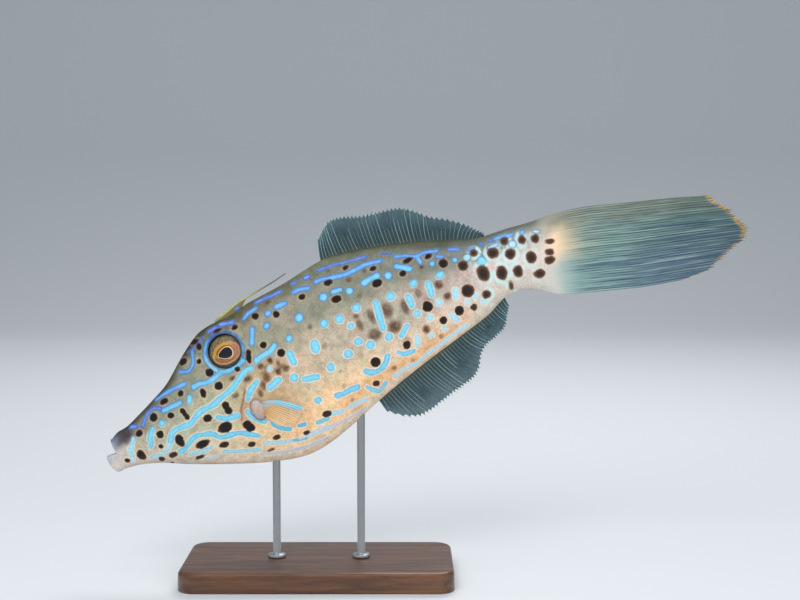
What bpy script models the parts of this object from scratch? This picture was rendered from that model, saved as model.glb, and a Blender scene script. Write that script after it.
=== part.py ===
# Scrawled filefish, Aluterus scriptus: a life-size model on a plain display stand.
# Lengths are in millimetres and angles in degrees, and MM turns lengths into metres.
# The fish is laid out along its own bent axis: s runs back from the mouth, h runs up from the
# axis and y runs out from the middle plane. The head points to -X, its left side faces -Y.
import math

import bmesh
import bpy
import numpy as np
from mathutils import Vector

MM = 0.001
GAP = 0.3

# The axis: where it starts, how steeply the head points down, and how the tail levels out
SNOUT_X = -184.3
SNOUT_Z = 116.0
HEAD_PITCH = 23.5
TAIL_PITCH = 8.0
BEND_FROM = 360.0
BEND_TO = 425.0
TAIL_SWAY = 8.0
SWAY_FROM = 330.0
AXIS_END = 640.0

# The body's outline over the axis, and half its width, along s
TOP_LINE = [(2, 7), (10, 11.3), (20, 12.8), (33, 17.7), (50, 24.9), (68, 33.5), (90, 50), (110, 62.7),
            (124, 66.2), (143, 66.6), (162, 70.5), (199, 73.9), (238, 79.5), (257, 77.3), (290, 70),
            (325, 59.7), (355, 48.9), (375, 42.5), (395, 42.4), (410, 43.5), (427, 47.2)]
BOTTOM_LINE = [(2, -21), (16, -23), (26, -25.8), (39, -30.9), (56, -39.5), (80, -50), (103, -59.4),
               (124, -67), (149, -73.7), (165, -74.9), (183, -72.4), (204, -66.4), (227, -58.5),
               (250, -51), (290, -40), (325, -31.6), (355, -24), (375, -15.5), (390, -13.5),
               (400, -14.8), (410, -17.7), (427, -23.7)]
HALF_WIDTH = [(2, 6.6), (20, 8.6), (45, 10.2), (80, 13), (115, 16.4), (145, 19), (180, 22), (200, 22.4),
              (220, 22), (250, 20), (290, 16), (330, 11.6), (360, 8.8), (390, 6.6), (410, 5.2), (427, 3.4)]
BODY_START = 4.0
BODY_END = 427.0
RING_POINTS = 32
STATION_STEP = 9.0
KEEL_POWER = 1.12

# Where the head and the tail's fleshy root are parted from the trunk
HEAD_CUT_S = 137.0
HEAD_CUT_SLOPE = 0.4
PEDUNCLE_CUT_S = 381.0

# Eyes, set in sockets with a raised rim of skin
EYE_S = 129.5
EYE_H = 40.3
EYE_RADIUS = 15.4
EYE_HALF_DEPTH = 8.0
EYE_PROUD = 1.6
ORBIT_BULGE = 2.2
ORBIT_SPREAD = 17.0
RIM_RADIUS = 17.3
RIM_THICKNESS = 1.9

# Lips, from the body's first ring to the mouth's slit. At each share of that way they give how far
# the skin has closed in on the slit, and how far ahead of the first ring it stands. The lower jaw
# juts out as a shelf.
UPPER_LIP = [(0, 0, 0), (0.2, 0.04, 2.0), (0.4, 0.28, 1.4), (0.65, 0.63, 0.3), (0.85, 0.92, 0.1), (1, 1, -2)]
LOWER_LIP = [(0, 0, 0), (0.3, 0.03, 8.0), (0.55, 0.56, 12.4), (0.75, 1.05, 11.2), (0.88, 1.03, 5), (1, 1, -2)]
LIP_ROUND = 0.6
LIP_SHARES = (1.0, 0.88, 0.76, 0.65, 0.55, 0.42, 0.3, 0.15)
MOUTH_MIDDLE = -4.55
MOUTH_HALF_HEIGHT = 0.65
MOUTH_HALF_WIDTH = 5.9
MOUTH_INSIDE = [(6.0, 0.55), (3.0, 0.85)]

NOSTRILS = [(104.9, 40.9, 1.3), (107.0, 46.3, 1.0)]
NOSTRIL_DEPTH = 3.0

# Gill slit, a short curved cut ahead of the pectoral fin with a fold of skin behind it
GILL_PATH = [(132, 1), (129.3, -3), (126, -7.3), (123, -11), (120.6, -15.5), (119, -20.5)]
GILL_WIDTH = 1.1
GILL_DEPTH = 3.2
GILL_FOLD_RADIUS = 1.5
GILL_FOLD_BACK = 1.7

# Folded first dorsal spine: its height over the back along s, and the low web under its root
SPINE_LINE = [(131, 0.6), (138, 3.2), (149, 5.1), (164, 4.9), (186, 5.6), (205, 6.8)]
SPINE_RADIUS = 1.5
SPINE_TIP_RADIUS = 0.4
SPINE_WEB_TO = 155.0
SPINE_WEB_HALF = 0.5

# Fins: how far each ray reaches from the base, at shares of the base's length
DORSAL = {"from": 238.0, "to": 377.0, "rays": 22, "lean": 0.3, "rows": 6, "side": 1,
          "reach": [(0, 21), (.08, 32), (.15, 33.5), (.3, 31), (.52, 33), (.6, 30), (.7, 23.5),
                    (.8, 20.5), (.9, 15), (1, 5)]}
ANAL = {"from": 236.0, "to": 375.0, "rays": 24, "lean": 0.22, "rows": 6, "side": -1,
        "reach": [(0, 14), (.06, 26), (.15, 36), (.3, 38), (.55, 38), (.62, 34), (.7, 24),
                  (.8, 21), (.9, 20), (1, 11)]}
FIN_ROOT_HALF = 0.9
FIN_MEMBRANE_HALF = 0.27
FIN_RIDGE = 0.25
FIN_TIP_HALF = 0.17
FIN_FRINGE = 1.3
FIN_WAVE = 2.2
FIN_WAVES = 3.5

# Tail fin: its upper and lower edges, and how far back it reaches at shares of its height
CAUDAL_ROOT = 427.3
CAUDAL_TOP = [(427, 47.0), (445, 49.4), (465, 50), (500, 48.5), (550, 46.5), (605, 43)]
CAUDAL_BOTTOM = [(427, -23.5), (445, -25.1), (475, -26.4), (500, -27.3), (530, -26.3), (605, -24)]
CAUDAL_END = [(0, 541), (.06, 559), (.13, 570), (.25, 580), (.33, 591), (.4, 598), (.49, 602),
              (.56, 601), (.75, 591), (.93, 576), (1, 572)]
CAUDAL_RAYS = 12
CAUDAL_ROWS = 11
CAUDAL_RIDGE = 0.4

# Pectoral fins: a fleshy lobe and a fan of rays
LOBE = {"centre": (136.5, -18.3), "semi": (5.6, 8.9, 3.4)}
FAN_ROOT = ((140.0, -12.5), (138.5, -23.5))
FAN_ANGLES = (-27.0, -60.0)
FAN_REACH = [(0, 36), (.3, 34), (.6, 27), (1, 17)]
FAN_BOW = 4.0
FAN_RAYS = 10
FAN_ROWS = 5
FAN_SPREAD = 0.16
FAN_HEIGHT = 2.6

# Stand: a flat base and two upright rods whose ends sit in the belly
BASE_SIZE = (240.0, 120.0, 18.0)
BASE_CORNER = 16.0
BASE_EDGE = 3.0
ROD_RADIUS = 3.5
ROD_IN_BODY = 9.0
ROD_IN_BASE = 10.0
ROD_SIDES = 20
COLLAR_RADIUS = 8.0
COLLAR_HEIGHT = 3.0
RODS = {"stand_rod_front": 130.0, "stand_rod_rear": 215.0}


# Curves and the bent axis

def smooth(points, x):
    """A smooth curve through a few points, with level ends beyond the first and the last."""
    xs = [p[0] for p in points]
    ys = [p[1] for p in points]
    if x <= xs[0]:
        return ys[0]
    if x >= xs[-1]:
        return ys[-1]
    i = max(k for k in range(len(xs)) if xs[k] <= x)
    slopes = []
    for k in (i, i + 1):
        before = max(k - 1, 0)
        after = min(k + 1, len(xs) - 1)
        slopes.append((ys[after] - ys[before]) / (xs[after] - xs[before]))
    span = xs[i + 1] - xs[i]
    t = (x - xs[i]) / span
    rise = ys[i + 1] - ys[i]
    bow = slopes[0] * span - rise
    level = rise - slopes[1] * span
    return ys[i] + t * rise + t * (1 - t) * ((1 - t) * bow + t * level)


def ease(t):
    t = min(max(t, 0.0), 1.0)
    return t * t * (3 - 2 * t)


def pitch(s):
    share = ease((s - BEND_FROM) / (BEND_TO - BEND_FROM))
    return math.radians(HEAD_PITCH + (TAIL_PITCH - HEAD_PITCH) * share)


def axis_table():
    steps = np.arange(0.0, AXIS_END, 1.0)
    xs, zs = [SNOUT_X], [SNOUT_Z]
    for s in steps:
        angle = pitch(s + 0.5)
        xs.append(xs[-1] + math.cos(angle))
        zs.append(zs[-1] + math.sin(angle))
    return np.append(steps, AXIS_END), np.array(xs), np.array(zs)


AXIS_S, AXIS_X, AXIS_Z = axis_table()


def place(s, h, y=0.0):
    """The world point, in metres, of a place on the fish."""
    ahead = min(s, 0.0)
    angle = pitch(s)
    x = np.interp(s, AXIS_S, AXIS_X) + ahead * math.cos(angle) - h * math.sin(angle)
    z = np.interp(s, AXIS_S, AXIS_Z) + ahead * math.sin(angle) + h * math.cos(angle)
    back = max(s - SWAY_FROM, 0.0) / (AXIS_END - SWAY_FROM)
    return Vector((x, y - TAIL_SWAY * back * back, z)) * MM


# The body's surface

def face_out(bm):
    """Points every face of a closed mesh outwards."""
    bm.normal_update()
    bmesh.ops.recalc_face_normals(bm, faces=bm.faces[:])


def section(s):
    """Middle height, half height and half width of the body at s."""
    top = smooth(TOP_LINE, s)
    bottom = smooth(BOTTOM_LINE, s)
    return (top + bottom) / 2, (top - bottom) / 2, smooth(HALF_WIDTH, s)


def orbit_bulge(s, h):
    d = math.hypot(s - EYE_S, h - EYE_H) / ORBIT_SPREAD
    return ORBIT_BULGE * math.exp(-d * d)


def side_width(s, h):
    """How far the skin stands from the middle plane."""
    middle, half, width = section(s)
    cosine = min(max((h - middle) / half, -1.0), 1.0)
    sine = math.sqrt(1.0 - cosine * cosine)
    return width * sine ** KEEL_POWER + orbit_bulge(s, h) * min(sine * 2, 1.0)


def stations():
    count = round((BODY_END - BODY_START) / STATION_STEP)
    return list(np.linspace(BODY_START, BODY_END, count + 1))


def ring_angles():
    return [2 * math.pi * k / RING_POINTS for k in range(RING_POINTS)]


def power(value, exponent):
    return math.copysign(abs(value) ** exponent, value)


def body_ring(s, grow=0.0):
    """One ring of skin round the body, or the same a little larger."""
    middle, half, _ = section(s)
    ring = []
    for angle in ring_angles():
        up, out = math.cos(angle), math.sin(angle)
        h = middle + half * up
        y = side_width(s, h) if abs(out) > 1e-6 else 0.0
        ring.append((s, h + grow * up, math.copysign(y, out) + grow * out))
    return ring


def lip_ring(share):
    """One ring over both lips, at a share of the way from the body's first ring to the slit."""
    ring = []
    for angle, (s, h, y) in zip(ring_angles(), body_ring(BODY_START)):
        up = math.cos(angle)
        lip = UPPER_LIP if up > 0 else LOWER_LIP
        full = abs(up) ** LIP_ROUND
        closed = share + (smooth([(k, c) for k, c, _ in lip], share) - share) * full
        ahead = smooth([(k, a) for k, _, a in lip], share) * full
        slit_h = MOUTH_MIDDLE + MOUTH_HALF_HEIGHT * up
        slit_y = MOUTH_HALF_WIDTH * power(math.sin(angle), 0.7)
        ring.append((s - ahead, h + (slit_h - h) * closed, y + (slit_y - y) * closed))
    return ring


def mouth_ring(depth, share):
    """One ring of the mouth's inside, so far behind the slit and so much smaller."""
    return [(s + depth, MOUTH_MIDDLE + (h - MOUTH_MIDDLE) * share, y * share)
            for s, h, y in lip_ring(1.0)]


def body_loft(grow=0.0):
    """The whole body with its lips as one closed mesh, or a plain one a little larger all round."""
    bm = bmesh.new()
    spots = stations()
    places = [body_ring(s, grow) for s in spots]
    if grow:
        places[0] = [(s - grow, h, y) for s, h, y in places[0]]
        places[-1] = [(s + grow, h, y) for s, h, y in places[-1]]
    else:
        inside = [mouth_ring(depth, share) for depth, share in MOUTH_INSIDE]
        places = inside + [lip_ring(share) for share in LIP_SHARES] + places
    rings = [[bm.verts.new(place(*spot)) for spot in ring] for ring in places]
    for near, far in zip(rings, rings[1:]):
        for k in range(RING_POINTS):
            n = (k + 1) % RING_POINTS
            bm.faces.new((near[k], near[n], far[n], far[k]))
    bm.faces.new(rings[0])
    bm.faces.new(rings[-1])
    face_out(bm)
    return bm


def keep_behind(bm, point, normal):
    """Cuts a closed mesh along a plane and closes it, leaving the side the normal points from."""
    parts = bm.verts[:] + bm.edges[:] + bm.faces[:]
    cut = bmesh.ops.bisect_plane(bm, geom=parts, plane_co=point, plane_no=normal, clear_outer=True)
    rim = [e for e in cut["geom_cut"] if isinstance(e, bmesh.types.BMEdge)]
    bmesh.ops.edgeloop_fill(bm, edges=rim)
    face_out(bm)


def cut_plane(s, slope):
    """A point and the rearward normal of a parting plane that leans back by slope."""
    point = place(s, 0)
    up = (place(s + slope, 1) - point).normalized()
    return point, Vector((0, 1, 0)).cross(up).normalized()


# Meshes, objects and materials

def to_object(name, bm, smooth_shade=True):
    mesh = bpy.data.meshes.new(name)
    bm.to_mesh(mesh)
    bm.free()
    if smooth_shade:
        mesh.shade_smooth()
        mesh.set_sharp_from_angle(angle=math.radians(35))
    obj = bpy.data.objects.new(name, mesh)
    bpy.context.scene.collection.objects.link(obj)
    return obj


def keep_largest(mesh):
    """Leaves only the closed surface that holds the most."""
    bm = bmesh.new()
    bm.from_mesh(mesh)
    left = set(bm.verts)
    shells = []
    while left:
        seed = left.pop()
        shell, queue = {seed}, [seed]
        while queue:
            for edge in queue.pop().link_edges:
                for vert in edge.verts:
                    if vert not in shell:
                        shell.add(vert)
                        queue.append(vert)
        left -= shell
        shells.append(shell)
    shells.sort(key=len)
    loose = [v for shell in shells[:-1] for v in shell]
    bmesh.ops.delete(bm, geom=loose, context="VERTS")
    bm.to_mesh(mesh)
    bm.free()


def combine(obj, pieces, operation):
    """One Boolean on a collection of closed pieces, applied, with the pieces then removed."""
    group = bpy.data.collections.new(obj.name + "_pieces")
    bpy.context.scene.collection.children.link(group)
    for piece in pieces:
        bpy.context.scene.collection.objects.unlink(piece)
        group.objects.link(piece)
    modifier = obj.modifiers.new("combine", "BOOLEAN")
    modifier.operation = operation
    modifier.operand_type = "COLLECTION"
    modifier.collection = group
    modifier.solver = "EXACT"
    graph = bpy.context.evaluated_depsgraph_get()
    result = bpy.data.meshes.new_from_object(obj.evaluated_get(graph))
    obj.modifiers.remove(modifier)
    keep_largest(result)
    obj.data = result
    for piece in pieces:
        bpy.data.objects.remove(piece)
    bpy.data.collections.remove(group)


def finish(obj, colour, roughness, metallic=0.0):
    material = bpy.data.materials.new(obj.name)
    material.use_nodes = True
    shader = material.node_tree.nodes["Principled BSDF"]
    shader.inputs["Base Color"].default_value = (*colour, 1)
    shader.inputs["Roughness"].default_value = roughness
    shader.inputs["Metallic"].default_value = metallic
    obj.data.materials.clear()
    obj.data.materials.append(material)


def rounded_lump(name, centre, semi, segments=18, rows=10):
    """A closed egg shape, set on the fish's own axes."""
    bm = bmesh.new()
    bmesh.ops.create_uvsphere(bm, u_segments=segments, v_segments=rows, radius=1)
    for vert in bm.verts:
        out = [c * size for c, size in zip(vert.co, semi)]
        vert.co = place(*(a + b for a, b in zip(centre, out)))
    face_out(bm)
    return to_object(name, bm)


def tube(name, points, radii, sides):
    """A closed round tube through points given on the fish's own axes."""
    bm = bmesh.new()
    spots = [place(*p) for p in points]
    rings = []
    for i, spot in enumerate(spots):
        along = (spots[min(i + 1, len(spots) - 1)] - spots[max(i - 1, 0)]).normalized()
        across = Vector((0, 1, 0))
        across = (across - along * across.dot(along)).normalized()
        up = along.cross(across)
        ring = []
        for k in range(sides):
            angle = 2 * math.pi * k / sides
            out = across * math.cos(angle) + up * math.sin(angle)
            ring.append(bm.verts.new(spot + out * radii[i] * MM))
        rings.append(ring)
    for near, far in zip(rings, rings[1:]):
        for k in range(sides):
            n = (k + 1) % sides
            bm.faces.new((near[k], near[n], far[n], far[k]))
    bm.faces.new(rings[0])
    bm.faces.new(rings[-1])
    face_out(bm)
    return to_object(name, bm)


def membrane(name, columns):
    """A thin closed sheet. Each column is a list of (point, half thickness), root to tip."""
    bm = bmesh.new()
    sheets = []
    for side in (-1, 1):
        sheets.append([[bm.verts.new(place(s, h, y + side * half)) for (s, h, y), half in column]
                       for column in columns])
    low, high = sheets
    rows = len(columns[0])
    for i in range(len(columns) - 1):
        for j in range(rows - 1):
            for sheet in sheets:
                a, b = sheet[i][j], sheet[i + 1][j]
                c, d = sheet[i + 1][j + 1], sheet[i][j + 1]
                bm.faces.new((a, b, c))
                bm.faces.new((a, c, d))
    edge = [(i, 0) for i in range(len(columns))]
    edge += [(len(columns) - 1, j) for j in range(1, rows)]
    edge += [(i, rows - 1) for i in range(len(columns) - 2, -1, -1)]
    edge += [(0, j) for j in range(rows - 2, 0, -1)]
    for (i, j), (m, n) in zip(edge, edge[1:] + edge[:1]):
        bm.faces.new((low[i][j], low[m][n], high[m][n]))
        bm.faces.new((low[i][j], high[m][n], high[i][j]))
    face_out(bm)
    return to_object(name, bm)


# Head and its features

def eye_frame(side):
    """The eye's centre on the skin and its outward direction, on the fish's own axes."""
    step = 6.0
    slope_s = (side_width(EYE_S + step, EYE_H) - side_width(EYE_S - step, EYE_H)) / (2 * step)
    slope_h = (side_width(EYE_S, EYE_H + step) - side_width(EYE_S, EYE_H - step)) / (2 * step)
    out = Vector((-slope_s, -slope_h, 1)).normalized()
    skin = Vector((EYE_S, EYE_H, side_width(EYE_S, EYE_H)))
    flip = Vector((1, 1, side))
    return skin * flip, out * flip


def on_eye(side, shapes, offset):
    """Turns shapes built round Z into place round the eye's axis."""
    skin, out = eye_frame(side)
    turn = out.to_track_quat("Z", "Y").to_matrix()
    for vert in shapes.verts:
        spot = skin + turn @ (Vector(vert.co) + Vector((0, 0, offset)))
        vert.co = place(*spot)
    face_out(shapes)


def eyeball(name, side, grow=0.0, segments=24, rows=10):
    bm = bmesh.new()
    bmesh.ops.create_uvsphere(bm, u_segments=segments, v_segments=rows, radius=1)
    wide = EYE_RADIUS + grow
    deep = EYE_HALF_DEPTH + grow
    bmesh.ops.scale(bm, vec=(wide, wide, deep), verts=bm.verts[:])
    on_eye(side, bm, EYE_PROUD - EYE_HALF_DEPTH)
    return to_object(name, bm)


def eye_rim(name, side, around=24, across=6):
    bm = bmesh.new()
    rings = []
    for i in range(around):
        a = 2 * math.pi * i / around
        ring = []
        for k in range(across):
            b = 2 * math.pi * k / across
            r = RIM_RADIUS + RIM_THICKNESS * math.cos(b)
            ring.append(bm.verts.new((r * math.cos(a), r * math.sin(a), RIM_THICKNESS * math.sin(b))))
        rings.append(ring)
    for near, far in zip(rings, rings[1:] + rings[:1]):
        for k in range(across):
            n = (k + 1) % across
            bm.faces.new((near[k], near[n], far[n], far[k]))
    on_eye(side, bm, -0.4 * RIM_THICKNESS)
    return to_object(name, bm)


def gill_cutter(side):
    bm = bmesh.new()
    rings = []
    for i, (s, h) in enumerate(GILL_PATH):
        before = GILL_PATH[max(i - 1, 0)]
        after = GILL_PATH[min(i + 1, len(GILL_PATH) - 1)]
        run = Vector((after[0] - before[0], after[1] - before[1])).normalized()
        across = Vector((-run.y, run.x)) * GILL_WIDTH / 2
        skin = side_width(s, h)
        corners = [(across, skin + 2), (-across, skin + 2), (-across, skin - GILL_DEPTH),
                   (across, skin - GILL_DEPTH)]
        rings.append([bm.verts.new(place(s + c.x, h + c.y, side * y)) for c, y in corners])
    for near, far in zip(rings, rings[1:]):
        for k in range(4):
            n = (k + 1) % 4
            bm.faces.new((near[k], near[n], far[n], far[k]))
    bm.faces.new(rings[0])
    bm.faces.new(rings[-1])
    face_out(bm)
    return to_object("gill_cutter", bm)


def gill_fold(side):
    points = []
    for s, h in GILL_PATH[1:-1]:
        back = s + GILL_FOLD_BACK
        points.append((back, h, side * (side_width(back, h) - GILL_FOLD_RADIUS * 0.3)))
    radii = [GILL_FOLD_RADIUS * share for share in (0.6, 1, 1, 0.6)]
    return tube("gill_fold", points, radii, 8)


def nostril_cutter(side, s, h, radius):
    skin = side_width(s, h)
    reach = (radius, radius, NOSTRIL_DEPTH)
    return rounded_lump("nostril_cutter", (s, h, side * skin), reach, 10, 6)


def build_head():
    bm = body_loft()
    point, rear = cut_plane(HEAD_CUT_S, HEAD_CUT_SLOPE)
    keep_behind(bm, point - rear * GAP / 2 * MM, rear)
    head = to_object("head", bm)
    added, cutters = [], []
    for side in (-1, 1):
        added.append(eye_rim("eye_rim", side))
        added.append(gill_fold(side))
        cutters.append(eyeball("socket", side, grow=GAP))
        cutters.append(gill_cutter(side))
        cutters += [nostril_cutter(side, *nostril) for nostril in NOSTRILS]
    combine(head, added, "UNION")
    combine(head, cutters, "DIFFERENCE")
    finish(head, (0.40, 0.36, 0.22), 0.55)


def build_eyes():
    for name, side in (("eye_left", -1), ("eye_right", 1)):
        finish(eyeball(name, side), (0.45, 0.16, 0.04), 0.12)


# Trunk and the tail's fleshy root

def rod_foot(s):
    """The world point where a rod meets the belly."""
    middle, half, _ = section(s)
    return place(s, middle - half)


def upright(name, x, radius, low, high, sides=ROD_SIDES):
    """A closed upright cylinder, in millimetres of world height."""
    bm = bmesh.new()
    bmesh.ops.create_cone(bm, cap_ends=True, segments=sides, radius1=radius * MM, radius2=radius * MM,
                          depth=(high - low) * MM)
    bmesh.ops.translate(bm, vec=(x, 0, (high + low) / 2 * MM), verts=bm.verts[:])
    face_out(bm)
    return to_object(name, bm)


def build_trunk():
    bm = body_loft()
    point, rear = cut_plane(HEAD_CUT_S, HEAD_CUT_SLOPE)
    keep_behind(bm, point + rear * GAP / 2 * MM, -rear)
    point, rear = cut_plane(PEDUNCLE_CUT_S, 0)
    keep_behind(bm, point - rear * GAP / 2 * MM, rear)
    trunk = to_object("trunk", bm)
    sockets = []
    for s in RODS.values():
        belly = rod_foot(s)
        top = belly.z / MM + ROD_IN_BODY + GAP
        sockets.append(upright("socket", belly.x, ROD_RADIUS + GAP, BASE_SIZE[2] * 2, top))
    combine(trunk, sockets, "DIFFERENCE")
    finish(trunk, (0.52, 0.42, 0.30), 0.55)


def build_peduncle():
    bm = body_loft()
    point, rear = cut_plane(PEDUNCLE_CUT_S, 0)
    keep_behind(bm, point + rear * GAP / 2 * MM, -rear)
    finish(to_object("tail_peduncle", bm), (0.60, 0.50, 0.48), 0.55)


# Spine and fins

def build_spine(steps=15, sides=8, web_steps=7):
    first, last = SPINE_LINE[0][0], SPINE_LINE[-1][0]
    points, radii = [], []
    for i in range(steps + 1):
        t = i / steps
        s = first + (last - first) * t
        middle, half, _ = section(s)
        points.append((s, middle + half + smooth(SPINE_LINE, s), 0))
        radii.append(SPINE_TIP_RADIUS + (SPINE_RADIUS - SPINE_TIP_RADIUS) * (1 - t) ** 0.8)
    spine = tube("first_dorsal_spine", points, radii, sides)
    columns = []
    for i in range(web_steps + 1):
        u = i / web_steps
        s = first + 1 + (SPINE_WEB_TO - first - 1) * u
        middle, half, _ = section(s)
        high = middle + half + smooth(SPINE_LINE, s)
        low = middle + half - 1 + (high - middle - half + 0.5) * u * u
        columns.append([((s, low + (high - low) * j / 2, 0), SPINE_WEB_HALF) for j in range(3)])
    combine(spine, [membrane("nape_web", columns)], "UNION")
    combine(spine, [to_object("clear_body", body_loft(GAP))], "DIFFERENCE")
    finish(spine, (0.42, 0.44, 0.30), 0.5)


def fin_half(t, is_ray, ridge=FIN_RIDGE):
    """Half thickness of a fin at share t of the way out to its edge."""
    root = FIN_ROOT_HALF * max(1 - t / 0.25, 0.0) ** 1.5
    sheet = FIN_MEMBRANE_HALF + (FIN_TIP_HALF - FIN_MEMBRANE_HALF) * max(t - 0.7, 0) / 0.3
    return max(root, sheet + (ridge * (1 - t * 0.75) if is_ray else 0.0))


def build_back_fin(name, fin, colour):
    """The second dorsal fin or the anal fin: rays as ridges in a gently waving membrane."""
    columns = []
    count = fin["rays"] * 2 - 1
    spots = stations()
    tops = [section(s)[0] + fin["side"] * section(s)[1] for s in spots]
    for i in range(count):
        u = i / (count - 1)
        is_ray = i % 2 == 0
        base_s = fin["from"] + (fin["to"] - fin["from"]) * u
        base_h = float(np.interp(base_s, spots, tops)) + fin["side"] * GAP
        reach = smooth(fin["reach"], u) + (FIN_FRINGE if is_ray else -FIN_FRINGE) / 2
        column = []
        for j in range(fin["rows"] + 1):
            t = j / fin["rows"]
            out = reach * t
            wave = FIN_WAVE * t * t * math.sin(2 * math.pi * FIN_WAVES * u + fin["side"])
            spot = (base_s + fin["lean"] * out * (0.6 + 0.4 * t), base_h + fin["side"] * out, wave)
            column.append((spot, fin_half(t, is_ray)))
        columns.append(column)
    finish(membrane(name, columns), colour, 0.45)


def build_caudal():
    columns = []
    count = CAUDAL_RAYS * 2 - 1
    for i in range(count):
        v = i / (count - 1)
        is_ray = i % 2 == 0
        end = smooth(CAUDAL_END, v) + (FIN_FRINGE if is_ray else -FIN_FRINGE)
        column = []
        for j in range(CAUDAL_ROWS + 1):
            t = j / CAUDAL_ROWS
            s = CAUDAL_ROOT + (end - CAUDAL_ROOT) * t
            low = smooth(CAUDAL_BOTTOM, s)
            h = low + (smooth(CAUDAL_TOP, s) - low) * v
            root = side_width(BODY_END, h) * 0.95 * max(1 - t * 4.5, 0.0)
            column.append(((s, h, 0.0), max(root, fin_half(t, is_ray, CAUDAL_RIDGE), 0.5 * (1 - t))))
        columns.append(column)
    finish(membrane("caudal_fin", columns), (0.30, 0.40, 0.40), 0.45)


def build_pectoral(name, side):
    centre_s, centre_h = LOBE["centre"]
    skin = side_width(centre_s, centre_h)
    lobe = rounded_lump(name, (centre_s, centre_h, side * skin), LOBE["semi"], 18, 10)
    columns = []
    count = FAN_RAYS * 2 - 1
    (top_s, top_h), (low_s, low_h) = FAN_ROOT
    for i in range(count):
        u = i / (count - 1)
        is_ray = i % 2 == 0
        angle = math.radians(FAN_ANGLES[0] + (FAN_ANGLES[1] - FAN_ANGLES[0]) * u)
        reach = smooth(FAN_REACH, u) + (FIN_FRINGE if is_ray else -FIN_FRINGE) / 2
        column = []
        for j in range(FAN_ROWS + 1):
            t = j / FAN_ROWS
            s = top_s + (low_s - top_s) * u + reach * t * math.cos(angle)
            h = top_h + (low_h - top_h) * u + reach * t * math.sin(angle)
            h += FAN_BOW * (1 - u) * math.sin(math.pi * t)
            out = side_width(s, h) + FAN_HEIGHT * 0.6 + FAN_HEIGHT * 0.4 * t + FAN_SPREAD * reach * t
            column.append(((s, h, side * out), fin_half(0.3 + 0.7 * t, is_ray)))
        columns.append(column)
    combine(lobe, [membrane("fan", columns)], "UNION")
    combine(lobe, [to_object("clear_body", body_loft(GAP))], "DIFFERENCE")
    finish(lobe, (0.60, 0.38, 0.22), 0.45)


# Stand

def build_base():
    length, depth, height = BASE_SIZE
    bm = bmesh.new()
    bmesh.ops.create_cube(bm, size=1)
    bmesh.ops.scale(bm, vec=(length * MM, depth * MM, height * MM), verts=bm.verts[:])
    bmesh.ops.translate(bm, vec=(0, 0, height / 2 * MM), verts=bm.verts[:])
    corners = [e for e in bm.edges if abs(e.verts[0].co.z - e.verts[1].co.z) > height / 2 * MM]
    bmesh.ops.bevel(bm, geom=corners, offset=BASE_CORNER * MM, segments=6, profile=0.5, affect="EDGES")
    rim = [e for e in bm.edges if all(v.co.z > (height - 0.01) * MM for v in e.verts)]
    bmesh.ops.bevel(bm, geom=rim, offset=BASE_EDGE * MM, segments=3, profile=0.5, affect="EDGES")
    face_out(bm)
    base = to_object("stand_base", bm)
    holes = []
    for s in RODS.values():
        low = height - ROD_IN_BASE - GAP
        holes.append(upright("hole", rod_foot(s).x, ROD_RADIUS + GAP, low, height * 2))
    combine(base, holes, "DIFFERENCE")
    finish(base, (0.10, 0.055, 0.03), 0.4)


def build_rod(name, s):
    belly = rod_foot(s)
    top = BASE_SIZE[2]
    rod = upright(name, belly.x, ROD_RADIUS, top - ROD_IN_BASE, belly.z / MM + ROD_IN_BODY)
    collar = upright("collar", belly.x, COLLAR_RADIUS, top + GAP, top + GAP + COLLAR_HEIGHT)
    combine(rod, [collar], "UNION")
    finish(rod, (0.55, 0.55, 0.56), 0.3, 1.0)


def main():
    for obj in list(bpy.data.objects):
        bpy.data.objects.remove(obj)
    build_head()
    build_eyes()
    build_trunk()
    build_peduncle()
    build_spine()
    build_back_fin("dorsal_fin", DORSAL, (0.12, 0.20, 0.23))
    build_back_fin("anal_fin", ANAL, (0.12, 0.20, 0.23))
    build_caudal()
    build_pectoral("pectoral_fin_left", -1)
    build_pectoral("pectoral_fin_right", 1)
    build_base()
    for name, s in RODS.items():
        build_rod(name, s)


main()
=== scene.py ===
import math

import bmesh
import bpy
import numpy as np
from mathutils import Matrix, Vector


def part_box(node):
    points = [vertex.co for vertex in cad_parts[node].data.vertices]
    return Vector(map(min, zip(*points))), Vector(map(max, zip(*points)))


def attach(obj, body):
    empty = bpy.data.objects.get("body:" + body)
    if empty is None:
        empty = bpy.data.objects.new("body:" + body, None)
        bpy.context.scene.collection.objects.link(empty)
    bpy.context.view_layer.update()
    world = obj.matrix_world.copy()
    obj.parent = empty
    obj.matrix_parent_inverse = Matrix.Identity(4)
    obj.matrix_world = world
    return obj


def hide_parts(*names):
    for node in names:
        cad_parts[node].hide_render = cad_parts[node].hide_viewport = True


# Scrawled filefish on its stand. Sizes are in millimetres along the fish's own bent axis:
# s runs back from the mouth, h up from the axis, y out from the middle plane.
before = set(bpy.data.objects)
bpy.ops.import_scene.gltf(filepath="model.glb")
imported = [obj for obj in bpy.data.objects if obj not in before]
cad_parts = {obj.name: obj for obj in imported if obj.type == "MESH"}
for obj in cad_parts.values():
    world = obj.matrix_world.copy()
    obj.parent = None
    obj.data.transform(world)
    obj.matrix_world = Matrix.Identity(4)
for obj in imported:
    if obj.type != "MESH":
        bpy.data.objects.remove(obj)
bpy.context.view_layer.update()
print("frame loaded:", len(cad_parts), "nodes")

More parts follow.
